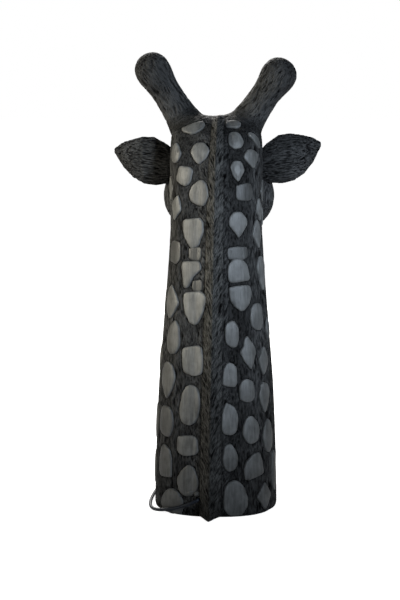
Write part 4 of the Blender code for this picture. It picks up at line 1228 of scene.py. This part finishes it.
def make_pendant_cord(paint):
    """The cord in two straight lengths, split halfway between where it swings at the lip and where it sways
    below.
    """
    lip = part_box("mouth_bush")[0].z
    upper_low, upper_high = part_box("pendant_cord_upper")
    lower_low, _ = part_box("pendant_cord_lower")
    middle = (upper_low + upper_high) / 2
    radius = (upper_high.x - upper_low.x) / 2
    split = (SWING_Z + SWAY_Z) / 2
    lengths = {
        "pendant_cord_upper": (lip + CORD_IN_LIP, split, "statue", "cord_top", SWING_Z),
        "pendant_cord_lower": (split, lower_low.z, "cord_top", "lamp", SWAY_Z),
    }
    for node, (top, bottom, first, second, hinge) in lengths.items():
        count = int((top - bottom) / CORD_STEP)
        way = [Vector((middle.x, middle.y, top + (bottom - top) * k / count)) for k in range(count + 1)]
        piece = tube(f"{node}_braid", way, radius, paint)
        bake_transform(piece)
        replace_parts(piece, node)


def make_filament(paint):
    """A cage of thin hairpins hung from the bulb's glass stem."""
    low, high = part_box("bulb_stem")
    foot = Vector(((low.x + high.x) / 2, (low.y + high.y) / 2, low.z + 0.002))
    bends = 8
    corners = []
    for k in range(bends * 2):
        turn = math.pi * k / bends
        high_bend = k % 4 in (0, 3)
        reach, drop = (0.006, 0.002) if high_bend else (0.011, 0.036)
        corners.append(foot + Vector((math.cos(turn) * reach, math.sin(turn) * reach, -drop)))
    wire = tube("filament", catmull(corners, 5), 0.00028, paint, 8)
    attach(wire, "bulb")


def make_small_parts(paints):
    for node in ("mains_cable", "plug_lead"):
        refined(node, paints, 2)
    for node in ("left_eye", "right_eye", "bulb_glass"):
        refined(node, paints, 1)
    crisp = ("lampholder_cap", "lampholder_body", "mouth_bush", "bulb_cap", "cable_grommet", "plug_body")
    for node in crisp + ("switch_base", "switch_cover", "switch_rocker"):
        refined(node, paints, 0)
    make_pendant_cord(paints["cord"])
    make_filament(paints["steel"])
    for node, obj in NODES.items():
        slot = slot_of(node)
        if slot in paints:
            obj.material_slots[0].material = paints[slot]


# ---------------------------------------------------------------- stage
def make_stage():
    """A pale floor that shows white to the camera."""
    bpy.ops.mesh.primitive_plane_add(size=60.0, location=(0, 0, 0))
    floor = bpy.context.object
    floor.name = "floor"
    paint = Paint("floor_white")
    seen = paint.node("ShaderNodeLightPath").outputs["Is Camera Ray"]
    glow = paint.maths("MULTIPLY", seen, FLOOR_GLOW)
    paint.set(Base_Color=(0.80, 0.80, 0.80), Roughness=0.9)
    paint.set(Emission_Color=(1.0, 1.0, 1.0), Emission_Strength=glow)
    floor.data.materials.append(paint.material)


def add_light(name, place, target, size, power, colour, spread=180):
    data = bpy.data.lights.new(name, "AREA")
    data.shape = "RECTANGLE"
    data.size, data.size_y = size
    data.energy = power
    data.color = colour
    data.spread = math.radians(spread)
    made = bpy.data.objects.new(name, data)
    bpy.context.scene.collection.objects.link(made)
    made.location = place
    made.rotation_euler = (Vector(target) - Vector(place)).to_track_quat("-Z", "Y").to_euler()


def make_world():
    """White behind the object, and a dimmer sky that lights it."""
    world = bpy.data.worlds.new("studio")
    bpy.context.scene.world = world
    world.use_nodes = True
    tree = world.node_tree
    sky = tree.nodes["Background"]
    sky.inputs["Color"].default_value = (0.95, 0.97, 1.0, 1.0)
    sky.inputs["Strength"].default_value = SKY_LIGHT
    white = tree.nodes.new("ShaderNodeBackground")
    white.inputs["Color"].default_value = (1.0, 1.0, 1.0, 1.0)
    seen = tree.nodes.new("ShaderNodeLightPath")
    choice = tree.nodes.new("ShaderNodeMixShader")
    tree.links.new(seen.outputs["Is Camera Ray"], choice.inputs[0])
    tree.links.new(sky.outputs[0], choice.inputs[1])
    tree.links.new(white.outputs[0], choice.inputs[2])
    tree.links.new(choice.outputs[0], tree.nodes["World Output"].inputs[0])


def make_lights():
    make_world()
    add_light("warm_box", (1.9, 0.8, 0.75), STATUE_MID, (0.36, 0.36), 1.25, (1.0, 0.94, 0.78), 20)
    add_light("cool_box", (-1.4, 1.9, 0.90), STATUE_MID, (0.40, 0.40), 1.65, (0.74, 0.86, 1.0), 20)
    add_light("front_box", (0.6, -2.2, 1.6), (0.0, 0.0, 0.35), (1.6, 1.2), 70.0, (1.0, 0.98, 0.95))


def make_camera():
    data = bpy.data.cameras.new("camera")
    data.lens = CAMERA_LENS
    data.sensor_width = CAMERA_SENSOR
    camera = bpy.data.objects.new("camera", data)
    bpy.context.scene.collection.objects.link(camera)
    camera.location = CAMERA_PLACE
    camera.rotation_euler = (CAMERA_AIM - CAMERA_PLACE).to_track_quat("-Z", "Y").to_euler()
    bpy.context.scene.camera = camera
    bpy.context.scene.view_settings.view_transform = "Standard"


# ---------------------------------------------------------------- build
FUR = fur_paint("fur_resin", (0.0008, 0.0008, 0.0009), (0.034, 0.034, 0.034))
SMOOTH = spot_paint()
SKIN = make_castings(FUR, SMOOTH)
# The mane's paint has a lighter top colour than the neck's fur: a painted highlight on the flanks that face
# the lamps.
make_mane(SKIN, fur_paint("mane_resin", (0.0010, 0.0010, 0.0010), (0.056, 0.056, 0.054)))
make_lumps(SKIN, SMOOTH)
for side in ("left", "right"):
    make_ear(side, FUR)
    make_lids(side, SKIN, FUR)
make_small_parts(make_paints())
make_stage()
make_lights()
make_camera()
